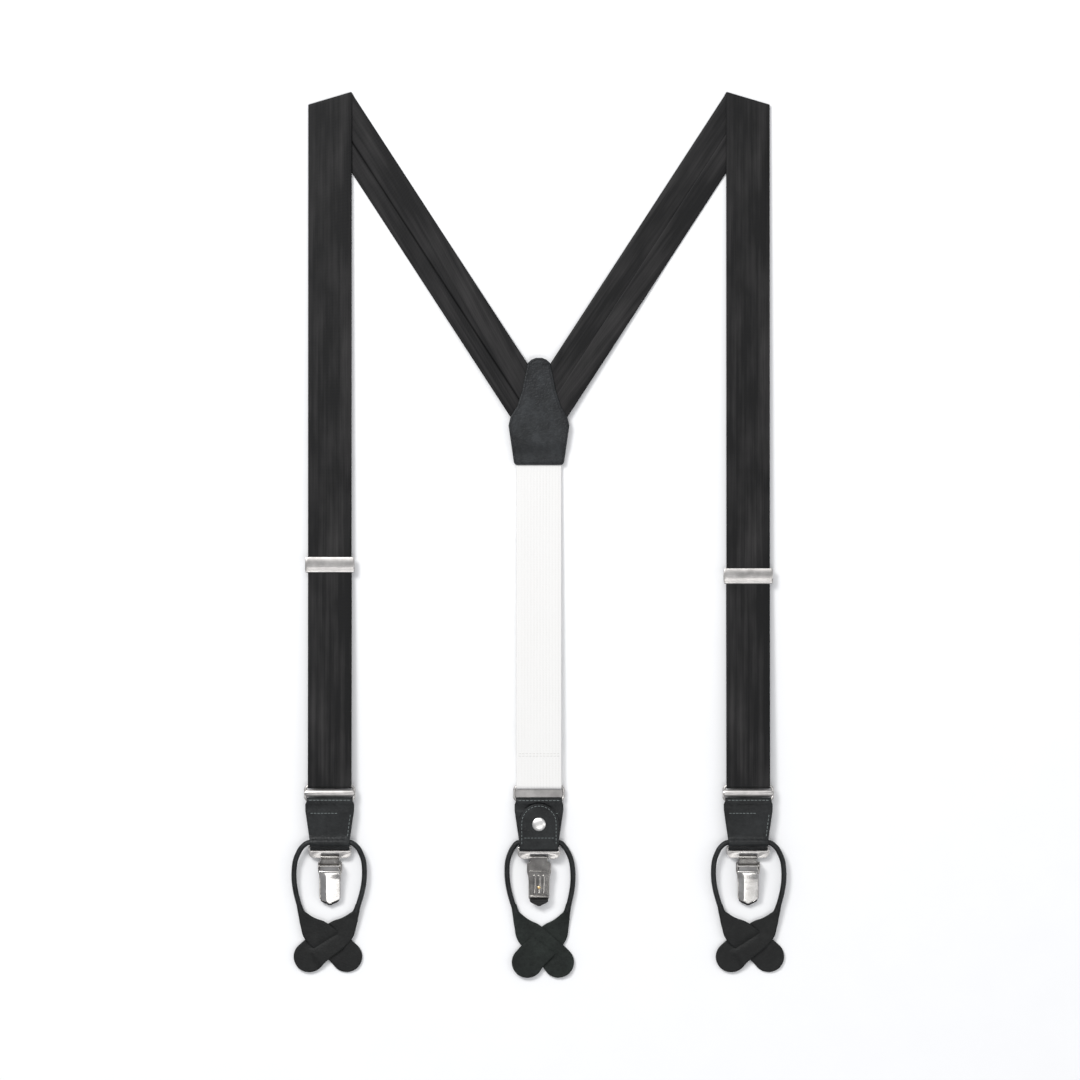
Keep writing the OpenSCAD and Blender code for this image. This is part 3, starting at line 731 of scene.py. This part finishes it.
def makeElasticLeg():
    half = halfOf("elastic_strap")
    top = boxOf("elastic_strap")[1].y
    patchFoot = boxOf("patch_front")[0].y
    yRing, zRing = ringAt["back"].y + barReach, ringAt["back"].z
    fold = legLook["ringGap"] + legLook["thick"] / 2
    hem = yRing + legLook["hem"]
    path = sidePath(0, [(top, legLook["atPatch"]), (patchFoot - 5, legLook["atPatch"]),
                        (hem + 10, zRing + fold), (yRing + 0.5, zRing + fold)], 4)
    path += arcPoints(0, yRing, zRing, fold, 90, 270, 14)
    path += sidePath(0, [(yRing + 0.5, zRing - fold), (hem, zRing - fold)], 3)
    shape = newShape()
    addStrip(shape, path, xWay, half, legLook["thick"] / 2 - 0.01)
    leg = makePiece("elasticLeg", shape, elastic, world)
    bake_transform(leg)
    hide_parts("elastic_strap", "elastic_fold")
    threads = newShape()
    for z, up in ((zRing + fold + 0.58, 1), (zRing - fold - 0.58, -1)):
        for y in (hem - 1.6, hem - 3.0):
            a, b = Vector((-half + 1, y, z)), Vector((half - 1, y, z))
            addStitches(threads, a, b, zWay * up, 2.0, 1.5, 0.16)
    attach(makePiece("hemStitches", threads, whiteThread, world), "end_back")


makeElasticLeg()
print("elastic leg made")


# Y patch

patchLook = {"neck": 6.4, "round": 8.5, "rise": 36.0, "groove": 1.15, "grooveDepth": 0.16, "stitchIn": 1.15,
             "pitch": 2.2, "droop": 1.1}


def patchOutline():
    low, high = boxOf("patch_front")
    half = high.x
    neck, rise = patchLook["neck"], patchLook["rise"]
    shoulderY = rise - (patchLook["round"] - math.sqrt(patchLook["round"] ** 2 - neck ** 2))
    foot = low.y - forkY
    right = [(14.2, foot, 2.2), (half, -2.8, 4), (half - 1.2, 2.2, 3), (half - 5, 8.2, 5),
             (neck + 3.4, 16.5, 12), (neck, shoulderY, 1.0), (4.4, rise - 1.1, 2.5), (1.7, rise, 2.5)]
    left = [(-x, y, r) for x, y, r in reversed(right)]
    return [p + Vector((0, forkY)) for p in roundCorners(right + left)]


def marksAlong(outline, pitch):
    # even marks along a closed outline
    pairs = list(zip(outline, outline[1:] + outline[:1]))
    way = sum((b - a).length for a, b in pairs)
    steps = round(way / pitch)
    marks = []
    walked, wanted = 0.0, 0.0
    for a, b in pairs:
        span = (b - a).length
        while wanted <= walked + span and len(marks) < steps:
            marks.append(a.lerp(b, (wanted - walked) / span))
            wanted += way / steps
        walked += span
    return marks


def makePatch(name, node, faceUp):
    low, high = boxOf(node)
    outline = finePath(patchOutline(), 2)
    thick = high.z - low.z
    base = low.z if faceUp else high.z
    sign = 1 if faceUp else -1
    groove = patchLook["groove"]

    def heightOf(y, h):
        # the front leather bends down to the elastic below the straps
        droop = patchLook["droop"] * eased(forkY - 13 - y, 0, 6) if faceUp else 0
        return base + sign * h - droop

    floor = thick - patchLook["grooveDepth"]
    profile = [(0.3, 0), (0, 0.25), (0, thick * 0.55), (0.12, thick * 0.8), (0.4, thick * 0.95),
               (0.9, thick), (groove - 0.25, thick), (groove - 0.08, floor), (groove + 0.08, floor),
               (groove + 0.3, thick)]
    shape = newShape()
    addPlate(shape, outline, profile, lambda p, h: Vector((p.x, p.y, heightOf(p.y, h))), True)
    piece = makePiece(name, shape, patchLeather, world, 28)
    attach(piece, "root")
    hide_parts(node)
    marks = marksAlong(insetOutline(outline, patchLook["stitchIn"]), patchLook["pitch"])
    threads = newShape()
    z = thick - 0.1
    for i, mark in enumerate(marks):
        after = marks[(i + 1) % len(marks)]
        a, b = mark.lerp(after, 0.12), mark.lerp(after, 0.88)
        start, end = [Vector((p.x, p.y, heightOf(p.y, z))) for p in (a, b)]
        addStitches(threads, start, end, zWay * sign, 9, (b - a).length, 0.17)
    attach(makePiece(name + "Stitches", threads, darkThread, world), "root")


makePatch("patchFront", "patch_front", True)
makePatch("patchBack", "patch_back", False)
print("patch made")


# adjusters

adjusterLook = {"upperShare": 0.32, "endRound": 1.6, "deep": 0.9, "cheekIn": 0.1, "cheekThick": 0.85}


def makeAdjuster(s):
    low, high = boxOf("adjuster_plate_" + s)
    x, yBar, zBar = adjusterAt[s]
    half, tall = (high.x - low.x) / 2, (high.y - low.y) / 2
    top, bottom = high.z, high.z - adjusterLook["deep"]
    fold = adjusterLook["upperShare"]
    rings = []
    for share in (-1, -0.995, -0.975, -0.955, -0.9, -0.5, 0, 0.5, 0.9, 0.955, 0.975, 0.995, 1):
        rest = max(0, (abs(share) - 0.955) / 0.045)
        h = tall - adjusterLook["endRound"] * (1 - math.sqrt(max(0, 1 - rest * rest)))
        drop = 0.12 * rest
        face = [(h, bottom), (h, top - 0.45), (h - 0.18, top - 0.2), (h - 0.5, top - 0.08),
                (h * 0.3, top - drop), (-h * fold, top - drop), (-h * fold - 0.5, top - 0.12 - drop),
                (-h + 1.1, top - 0.5), (-h + 0.75, top - 0.3), (-h + 0.35, top - 0.3), (-h, top - 0.55),
                (-h, bottom)]
        rings.append([Vector((x + share * half, yBar + y, z)) for y, z in face])
    shape = newShape()
    addLoft(shape, rings)
    for side in (-1, 1):
        outer = x + side * half
        cheek = roundCorners([(-1.5, zBar - 1.5, 1.45), (1.5, zBar - 1.5, 1.45), (2.4, top - 0.8, 0),
                              (-2.4, top - 0.8, 0)])

        def lift(p, h, outer=outer, side=side):
            return Vector((outer - side * (adjusterLook["cheekIn"] + h), yBar + p.x, p.y))

        addPlate(shape, cheek, roundedPlate(0, adjusterLook["cheekThick"], 0.15), lift)
    piece = makePiece("adjusterPlate_" + s, shape, brushedNickel, world, 30)
    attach(piece, "adjuster_" + s)
    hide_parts("adjuster_plate_" + s)


for s in sides:
    makeAdjuster(s)
print("adjusters made")


# rings

ringLook = {"wire": 0.9, "rail": 0.6, "band": 2.2, "crown": 1.5, "corner": 3.0}


def makeRing(e):
    half = halfOf("ring_" + e)
    x, y, r = half - ringLook["rail"], barReach, ringLook["corner"]
    outline = roundCorners([(-x, -y, r), (x, -y, r), (x, y, r), (-x, y, r)], 6)
    path = [flatOf(p) for p in outline]

    def wireAt(p):
        onRail = abs(p.x) > x - 0.1 and abs(p.y) < y - r + 0.1
        return ringLook["rail"] if onRail else ringLook["wire"] * 0.97

    shape = newShape()
    addTube(shape, path, wireAt, 16, closed=True)
    rings = []
    steps = (0, 0.2, 0.4, 0.6, 0.75, 0.85, 0.9, 0.94, 0.97, 0.99, 1)
    for share in sorted({sign * k for sign in (-1, 1) for k in steps}):
        tip = max(0, (abs(share) - 0.88) / 0.12)
        h = ringLook["band"] * math.sqrt(max(0.02, 1 - tip * tip)) * (1 - 0.12 * share ** 4)
        rise = (ringLook["crown"] - 0.45) * (1 - 0.5 * share ** 4)
        crown = [(h * t, 0.45 + rise * (1 - t * t)) for t in (-1, -0.85, -0.6, -0.3, 0, 0.3, 0.6, 0.85, 1)]
        section = [(-h, 0.3)] + crown + [(h, 0.3)]
        rings.append([Vector((share * half, a, b)) for a, b in section])
    addLoft(shape, rings)
    piece = makePiece("ringPlate_" + e, shape, brushedNickel, endPlace[e], 35)
    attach(piece, "ring_" + e)
    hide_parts("ring_" + e)


for e in ends:
    makeRing(e)
print("rings made")


# leather tabs and snap flaps

tabLook = {"thick": 1.2, "topHalf": 13.3, "shoulderHalf": 14.0, "baseHalf": 11.5, "shoulder": (-5.2, -6.4),
           "taper": (-9.8, -27.0), "barR": 1.55, "tunnelR": 2.2}
flapLook = {"half": 11.15, "arch": -16.9, "z": -3.616, "wrapR": 1.35, "edgeIn": 1.3}


def tabHalf(p):
    high, low = tabLook["taper"]
    start, end = tabLook["shoulder"]
    top, wide = tabLook["topHalf"], tabLook["shoulderHalf"]
    if p.y > start:
        return top
    if p.y > end:
        return top + (wide - top) * (start - p.y) / (start - end)
    share = min(1, max(0, (high - p.y) / (high - low)))
    return wide + (tabLook["baseHalf"] - wide) * share


def makeTab(e):
    z = tabLook["thick"] / 2
    r, tunnel = tabLook["barR"], tabLook["tunnelR"]
    front = [(-7.6, z + 0.1), (-9.4, z), (-10.2, z + 0.16), (-16, z + 0.2), (-24.2, z + 0.12),
             (-26.0, z + 0.45)]
    rear = [(y, -h) for y, h in reversed(front)]
    path = arcPoints(0, -barReach, 0, r, -105, 105, 16) + [Vector((0, -6.4, z + 0.45))]
    path += sidePath(0, front, 1.5) + arcPoints(0, tunnelY, 0, tunnel, 52, 308, 22)
    path += sidePath(0, rear, 1.5) + [Vector((0, -6.4, -z - 0.45))]
    shape = newShape()
    addStrip(shape, path, -xWay, tabHalf, tabLook["thick"] / 2 - 0.02, closed=True)
    tab = makePiece("leatherTab_" + e, shape, leather, endPlace[e], 50)
    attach(tab, "tab_" + e)
    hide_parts("tab_" + e)
    threads = newShape()
    face = tabLook["thick"] + 0.18
    crest = tabLook["barR"] + tabLook["thick"] / 2
    # the last row is on the front only
    rows = [((-12, -4.0), (12, -4.0), crest), ((-11.2, -11.5), (4.6, -11.5), face),
            ((11.9, -12), (10.2, -25), face)]
    for sign in (1, -1):
        for a, b, h in rows if sign == 1 else rows[:2]:
            addStitches(threads, Vector((*a, sign * h)), Vector((*b, sign * h)), zWay * sign, 2.1, 1.6, 0.2)
    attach(makePiece("tabStitches_" + e, threads, paleThread, endPlace[e]), "tab_" + e)


def flapHalf(p):
    above = p.y - flapLook["arch"]
    if p.z > -3 or above < 0:
        return flapLook["half"]
    return max(0.4, math.sqrt(max(0, flapLook["half"] ** 2 - above ** 2)))


def makeFlap(e):
    y, z, r = bailBar.y, bailBar.z, flapLook["wrapR"]
    arch, half = flapLook["arch"], flapLook["half"]
    top = [Vector((0, arch + half * math.sin(math.radians(a)), flapLook["z"])) for a in range(0, 89, 4)]
    path = [Vector((0, -30.6, -0.8))] + arcPoints(0, y, z, r, 78, 270, 20)
    path += finePath([Vector((0, -30.2, flapLook["z"])), top[0]], 1.5) + top[1:]
    shape = newShape()
    addStrip(shape, path, -xWay, flapHalf, tabLook["thick"] / 2 - 0.02)
    flap = makePiece("snapFlap_" + e, shape, leather, endPlace[e], 50)
    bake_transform(flap)
    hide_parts("flap_" + e)
    threads = newShape()
    face = flapLook["z"] - tabLook["thick"] / 2 + 0.04
    edge = half - flapLook["edgeIn"]
    middle = Vector((0, arch, face))
    bend = [math.radians(a) for a in range(0, 181, 12)]
    marks = [middle + xWay * (-edge * math.cos(a)) + yWay * (edge * math.sin(a)) for a in bend]
    marks = [Vector((-edge, -29.2, face)), *marks, Vector((edge, -29.2, face))]
    for a, b in zip(marks, marks[1:]):
        addStitches(threads, a, b, -zWay, 2.05, 1.6, 0.18)
    across = [Vector((x, -25.4, face)) for x in (-edge + 1, edge - 1)]
    addStitches(threads, *across, -zWay, 2.05, 1.6, 0.16)
    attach(makePiece("flapStitches_" + e, threads, paleThread, endPlace[e]), "flap_" + e)


def makeSnapCap(e):
    r = halfOf("snap_cap_" + e)
    y = middleOf("snap_cap_" + e).y - ringAt[e].y
    face = flapLook["z"] - tabLook["thick"] / 2
    profile = [(0.02, 0.6), (1.0, 0.6), (1.0, 0.02), (r - 0.3, 0.02), (r, -0.16), (r - 0.08, -0.34),
               (r - 0.3, -0.47), (r * 0.8, -0.68), (r * 0.62, -0.85), (r * 0.42, -0.99), (r * 0.2, -1.06),
               (0.02, -1.08)]
    shape = newShape()
    addTurned(shape, Vector((0, y, face)), profile, 48)
    piece = makePiece("snapCap_" + e, shape, highlightNickel, endPlace[e], 60)
    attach(piece, "flap_" + e)
    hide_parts("snap_cap_" + e)


for e in ends:
    makeTab(e)
    makeFlap(e)
    makeSnapCap(e)
print("tabs, flaps and snaps made")


# bails and clips

bailLook = {"thick": 1.2, "arm": 0.95, "slotTop": -33.3, "notchHalf": 5.2, "notchTop": -34.75,
            "corner": 3.4}


def makeBail(e):
    half = halfOf("bail_" + e)
    y, z = bailBar.y, bailBar.z
    bottom = bailFoot.y - 0.6
    inner = half - bailLook["arm"]
    n, notch, slot = bailLook["notchHalf"], bailLook["notchTop"], bailLook["slotTop"]
    corner, thick = bailLook["corner"], bailLook["thick"]
    outline = roundCorners([(-half, bottom, corner), (-n, bottom, 0.5), (-n, notch, 0.5), (n, notch, 0.5),
                            (n, bottom, 0.5), (half, bottom, corner), (half, y, 0), (inner, y, 0),
                            (inner, slot, 0.5), (-inner, slot, 0.5), (-inner, y, 0), (-half, y, 0)], 6)
    shape = newShape()
    profile = roundedPlate(z - thick / 2, z + thick / 2, 0.3)
    addPlate(shape, outline, profile, lambda p, h: Vector((p.x, p.y, h)))
    addRod(shape, -half, half, y, z, 0.7)
    addRod(shape, -n - 0.6, n + 0.6, bailFoot.y, z, 0.6)
    piece = makePiece("bailPlate_" + e, shape, brushedNickel, endPlace[e], 35)
    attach(piece, "bail_" + e)
    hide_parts("bail_" + e)


clipLook = {"curlR": 0.95, "plateZ": -0.95, "thick": 0.6, "curlHalf": 5.0, "hip": -2.6, "shoulderHalf": 6.9,
            "waist": -9.0, "waistHalf": 6.3, "tipHalf": 5.25, "length": -22.0, "rivetY": -17.0,
            "earIn": 5.7, "earThick": 0.6, "earTop": 4.9}
leverLook = {"half": 6.0, "neckHalf": 5.35, "shoulder": (-8.1, 4.1), "foot": (-26.4, 1.3), "thick": 0.7,
             "crown": 0.9, "crest": -2.2, "tip": 3.4, "tipPower": 1.9}
padLook = {"top": -14.0, "length": 13.7, "half": 5.3, "tip": 3.7, "tooth": 0.22, "soft": 0.25}


def baseHalf(p):
    curl, shoulder = clipLook["curlHalf"], clipLook["shoulderHalf"]
    hip, waist = clipLook["hip"], clipLook["waist"]
    if p.y > hip + 0.5:
        return curl
    if p.y > hip - 0.5:
        return curl + (shoulder - curl) * (hip + 0.5 - p.y)
    if p.y > waist + 1:
        return shoulder
    share = min(1, (waist + 1 - p.y) / 2.5)
    narrowed = (clipLook["waistHalf"] - clipLook["tipHalf"]) * (waist - p.y) / (waist - clipLook["length"])
    return shoulder + (clipLook["waistHalf"] - narrowed - shoulder) * share


def makeClipBase(e):
    z = clipLook["plateZ"]
    path = arcPoints(0, 0, 0, clipLook["curlR"], 225, -90, 24)
    path += sidePath(0, [(-0.6, z), (clipLook["length"], z)], 0.8)
    shape = newShape()
    addStrip(shape, path, -xWay, baseHalf, clipLook["thick"] / 2)
    # three pressed ribs
    for x in (-2.6, 0, 2.6):
        a, b = xWay * (0.85 if x else 1.0), zWay * -0.42
        stations = ((-9.4, 0.1), (-9.8, 0.8), (-10.4, 1), (-15, 1), (-20, 1), (-20.5, 0.8), (-20.9, 0.1))
        addLoft(shape, [circlePoints(Vector((x, y, z - 0.2)), a, b, share, 15) for y, share in stations])
    top = clipLook["earTop"]
    ear = roundCorners([(-7, z - 0.2, 0), (-3, z - 0.2, 0), (-3, top, 1.95), (-7, top, 1.95)])
    for side in (-1, 1):
        def lift(p, h, side=side):
            return Vector((side * (clipLook["earIn"] + h), p.x, p.y))

        addPlate(shape, ear, roundedPlate(0, clipLook["earThick"], 0.12), lift)
    addRod(shape, -clipLook["tipHalf"], clipLook["tipHalf"], clipLook["length"], z - 0.35, 0.9)
    addRod(shape, -5.6, 5.6, -7.6, z - 0.12, 0.5)
    piece = makePiece("clipBase_" + e, shape, shadedNickel, clipPlace[e], 35)
    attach(piece, "clip_" + e)
    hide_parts("clip_base_" + e)
    rivet = newShape()
    profile = [(0.02, 0.1), (0.95, 0.1), (0.9, -0.12), (0.6, -0.28), (0.02, -0.34)]
    addTurned(rivet, Vector((0, clipLook["rivetY"], z - 0.5)), profile, 20)
    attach(makePiece("clipRivet_" + e, rivet, brass, clipPlace[e]), "clip_" + e)


def leverHalf(p):
    y = p.y - leverPin["y"]
    if y > -2.4:
        return leverLook["neckHalf"]
    tip = leverLook["tip"]
    start = leverLook["foot"][0] + tip
    if p.y > start:
        return leverLook["half"] - 0.3 + 0.3 * min(1, -y / 6)
    share = (start - p.y) / tip
    return max(0.9, leverLook["half"] * (1 - share ** leverLook["tipPower"]))


def leverRelief(u, centre):
    if centre.y > -8:
        return 0
    crest, half = leverLook["crest"], leverLook["half"]
    if u < crest:
        fall = (crest - u) / (half + crest)
    else:
        fall = 0.45 * ((u - crest) / (half - crest)) ** 2
    return leverLook["crown"] * (-fall) * min(1, (-8 - centre.y) / 4) + 0.1


def makeLever(e):
    y, z = leverPin["y"], leverPin["z"]
    shoulder, foot = leverLook["shoulder"], leverLook["foot"]
    path = arcPoints(0, y, z, 1.15, 300, 100, 16)
    path += sidePath(0, [(shoulder[0] + 0.4, shoulder[1]), (shoulder[0] - 1, shoulder[1] - 0.1),
                         (foot[0] + 0.02, foot[1])], 0.6)
    columns = [-0.85, -0.6, -0.45, -0.38, -0.3, 0, 0.3, 0.6, 0.85]
    shape = newShape()
    addStrip(shape, path, xWay, leverHalf, leverLook["thick"] / 2, columns, relief=leverRelief)
    addRod(shape, -leverLook["half"], leverLook["half"], shoulder[0], shoulder[1], 0.85)
    piece = makePiece("clipLever_" + e, shape, nickel, clipPlace[e], 30)
    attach(piece, "lever_" + e)
    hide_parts("clip_lever_" + e)


def makePad(e):
    shoulder, foot = leverLook["shoulder"], leverLook["foot"]
    slope = (shoulder[1] - foot[1]) / (shoulder[0] - foot[0])
    tip, soft = padLook["tip"], padLook["soft"]
    start = padLook["top"] - padLook["length"] + tip
    rings = []
    steps = 28
    for k in range(steps + 1):
        y = padLook["top"] - padLook["length"] * k / steps
        share = max(0, (start - y) / tip)
        rounded = (padLook["half"] + 0.5) * (1 - share ** leverLook["tipPower"])
        half = max(0.9, min(padLook["half"], rounded))
        top = min(shoulder[1] + (y - shoulder[0]) * slope - 0.42, 3.0)
        low = -0.33 + (padLook["tooth"] if k % 2 else 0)
        section = ((-half, low + soft), (-half, top - soft), (-half + soft, top), (half - soft, top),
                   (half, top - soft), (half, low + soft), (half - soft, low), (-half + soft, low))
        rings.append([Vector((x, y, z)) for x, z in section])
    shape = newShape()
    addLoft(shape, rings)
    piece = makePiece("clipPad_" + e, shape, rubber, clipPlace[e], 35)
    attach(piece, "lever_" + e)
    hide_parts("clip_pad_" + e)


for e in ends:
    makeBail(e)
    makeClipBase(e)
    makeLever(e)
    makePad(e)
print("bails and clips made")


# button loops

loopLook = {"radius": 1.5, "thick": 1.4, "layer": 0.76, "rootHalfThick": 1.45}
# the cord's way down one side: (share of the loop's half width, down)
cordWay = [(0.78, -2.6), (0.88, -5.8), (0.97, -10.7), (1, -16.7), (0.99, -22.7), (0.94, -28.7),
           (0.86, -34.7), (0.77, -40.2)]
frontLoop = {"half": 20.2, "lobeHalf": 10.7, "lobeDrop": 65.9}
loopShape = {"left": {**frontLoop, "lean": -0.018}, "right": {**frontLoop, "lean": 0.018},
             "back": {"half": 18.9, "lean": -0.033, "lobeHalf": 8.9, "lobeDrop": 68.7}}
# shares of the way from the cord's end to the lobe: (across, down, half width)
tongueWay = [(-0.05, -0.16, 1.55), (-0.005, 0.0, 2.0), (0.05, 0.1, 3.1), (0.14, 0.235, 4.9),
             (0.27, 0.39, 7.4), (0.48, 0.57, 8.4), (0.69, 0.735, 8.4), (0.88, 0.88, 8.7), (1.0, 1.0, 9.0)]
tongueColumns = [-0.9, -0.75, -0.6, -0.45, -0.3, -0.15, 0, 0.15, 0.3, 0.45, 0.6, 0.75, 0.9]


def smoothPath(points, steps):
    # a smooth curve through the points
    fine = []
    for i in range(len(points) - 1):
        a, b = points[max(0, i - 1)], points[i]
        c, d = points[i + 1], points[min(len(points) - 1, i + 2)]
        for k in range(steps):
            t = k / steps
            bend = (a * 2 - b * 5 + c * 4 - d) * (t * t / 2) + (b * 3 - a - c * 3 + d) * (t ** 3 / 2)
            fine.append(b + (c - a) * (t / 2) + bend)
    return fine + [points[-1]]


def cordRoute(e):
    look = loopShape[e]
    left, right = [[Vector((sign * x * look["half"] - look["lean"] * y, y, 0)) for x, y in cordWay]
                   for sign in (-1, 1)]
    out = tabLook["baseHalf"] + 0.6
    middle = [(-out, -0.05, 0), (-out / 2, 0, 0), (0, 0, 0), (out / 2, 0, 0), (out, -0.05, 0)]
    return left[::-1] + [Vector(p) for p in middle] + right


def tonguePath(e, fromSide):
    look = loopShape[e]
    last = cordWay[-1]
    root = Vector((fromSide * last[0] * look["half"] - look["lean"] * last[1], last[1], 0))
    lobe = Vector((-fromSide * look["lobeHalf"] + look["lean"] * look["lobeDrop"], -look["lobeDrop"], 0))
    run = lobe - root
    stations = [Vector((root.x + run.x * a, root.y + run.y * b, w)) for a, b, w in tongueWay]
    return stations, lobe


def slitOf(e):
    # the two ends of the slit, which runs along the slotted tongue
    stations, lobe = tonguePath(e, 1)
    root = flatOf(stations[1])
    run = lobe - root
    return [root + Vector((run.x * a, run.y * b, 0)) for a, b in ((0.44, 0.51), (1.06, 0.914))]


def makeTongue(e, name, fromSide, over, material):
    stations, lobe = tonguePath(e, fromSide)
    fine = smoothPath(stations, 5)
    a, b = slitOf(e)
    way = (b - a).normalized()
    slitLength = (b - a).length * 0.85
    upper = Vector((way.y, -way.x, 0))
    upper = upper if upper.y > 0 else -upper
    root = loopLook["rootHalfThick"]
    rings = []
    endR = fine[-1].z
    last = flatOf(fine[-1])
    heading = (last - flatOf(fine[-3])).normalized()
    for k in range(1, 12):
        turn = math.radians(k * 8)
        p = last + heading * (endR * math.sin(turn))
        fine.append(Vector((p.x, p.y, max(0.5, endR * math.cos(turn)))))
    for i, p in enumerate(fine):
        centre = flatOf(p)
        before = fine[max(0, i - 1)]
        after = fine[min(len(fine) - 1, i + 1)]
        tangent = flatOf(after - before).normalized()
        across = tangent.cross(zWay)
        grown = min(1, max(0, (p.z - tongueWay[0][2]) / 2.2)) if i < len(fine) / 2 else 1
        halfThick = root + (loopLook["thick"] / 2 - root) * grown
        ring = []
        for u, w in slabSection(p.z, halfThick, tongueColumns):
            q = centre + across * u
            d = (q - a).dot(upper)
            lift = loopLook["layer"] * math.tanh(d / 1.6) * grown * over
            if over < 0:
                # the slotted tongue only parts along its slit
                s = (q - a).dot(way)
                lift *= eased(s, -2.2, 1.2) * (1 - eased(s, slitLength - 1.5, slitLength + 2.5))
            ring.append(q + zWay * (w + lift))
        rings.append(ring)
    shape = newShape()
    addLoft(shape, rings)
    piece = makePiece(name + "_" + e, shape, material, loopPlace[e], 50)
    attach(piece, "loop_" + e)
    return piece


def makeLoop(e):
    face = suede if e == "back" else tongueLeather
    slotted = makeTongue(e, "slottedTongue", 1, -1, face)
    threaded = makeTongue(e, "threadedTongue", -1, 1, face)
    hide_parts("tongue_slotted_" + e)
    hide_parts("tongue_threaded_" + e)
    path = smoothPath(cordRoute(e), 4)
    shape = newShape()
    addTube(shape, path, loopLook["radius"], 14)
    cord = makePiece("loopCord_" + e, shape, leather, loopPlace[e], 50)
    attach(cord, "loop_" + e)
    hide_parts("loop_cord_" + e)
    placed = [loopPlace[e] @ p for p in path]
    length = sum((b - a).length for a, b in zip(placed, placed[1:]))
    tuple(placed[0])


for e in ends:
    makeLoop(e)
print("button loops made")


# bought metal parts keep their shapes

for name, node in frame["nodes"].items():
    if name.startswith(("adjuster_bar_", "snap_socket_", "snap_stud_", "clip_pin_")):
        for place in node.material_slots:
            place.material = nickel
print("metal finished")
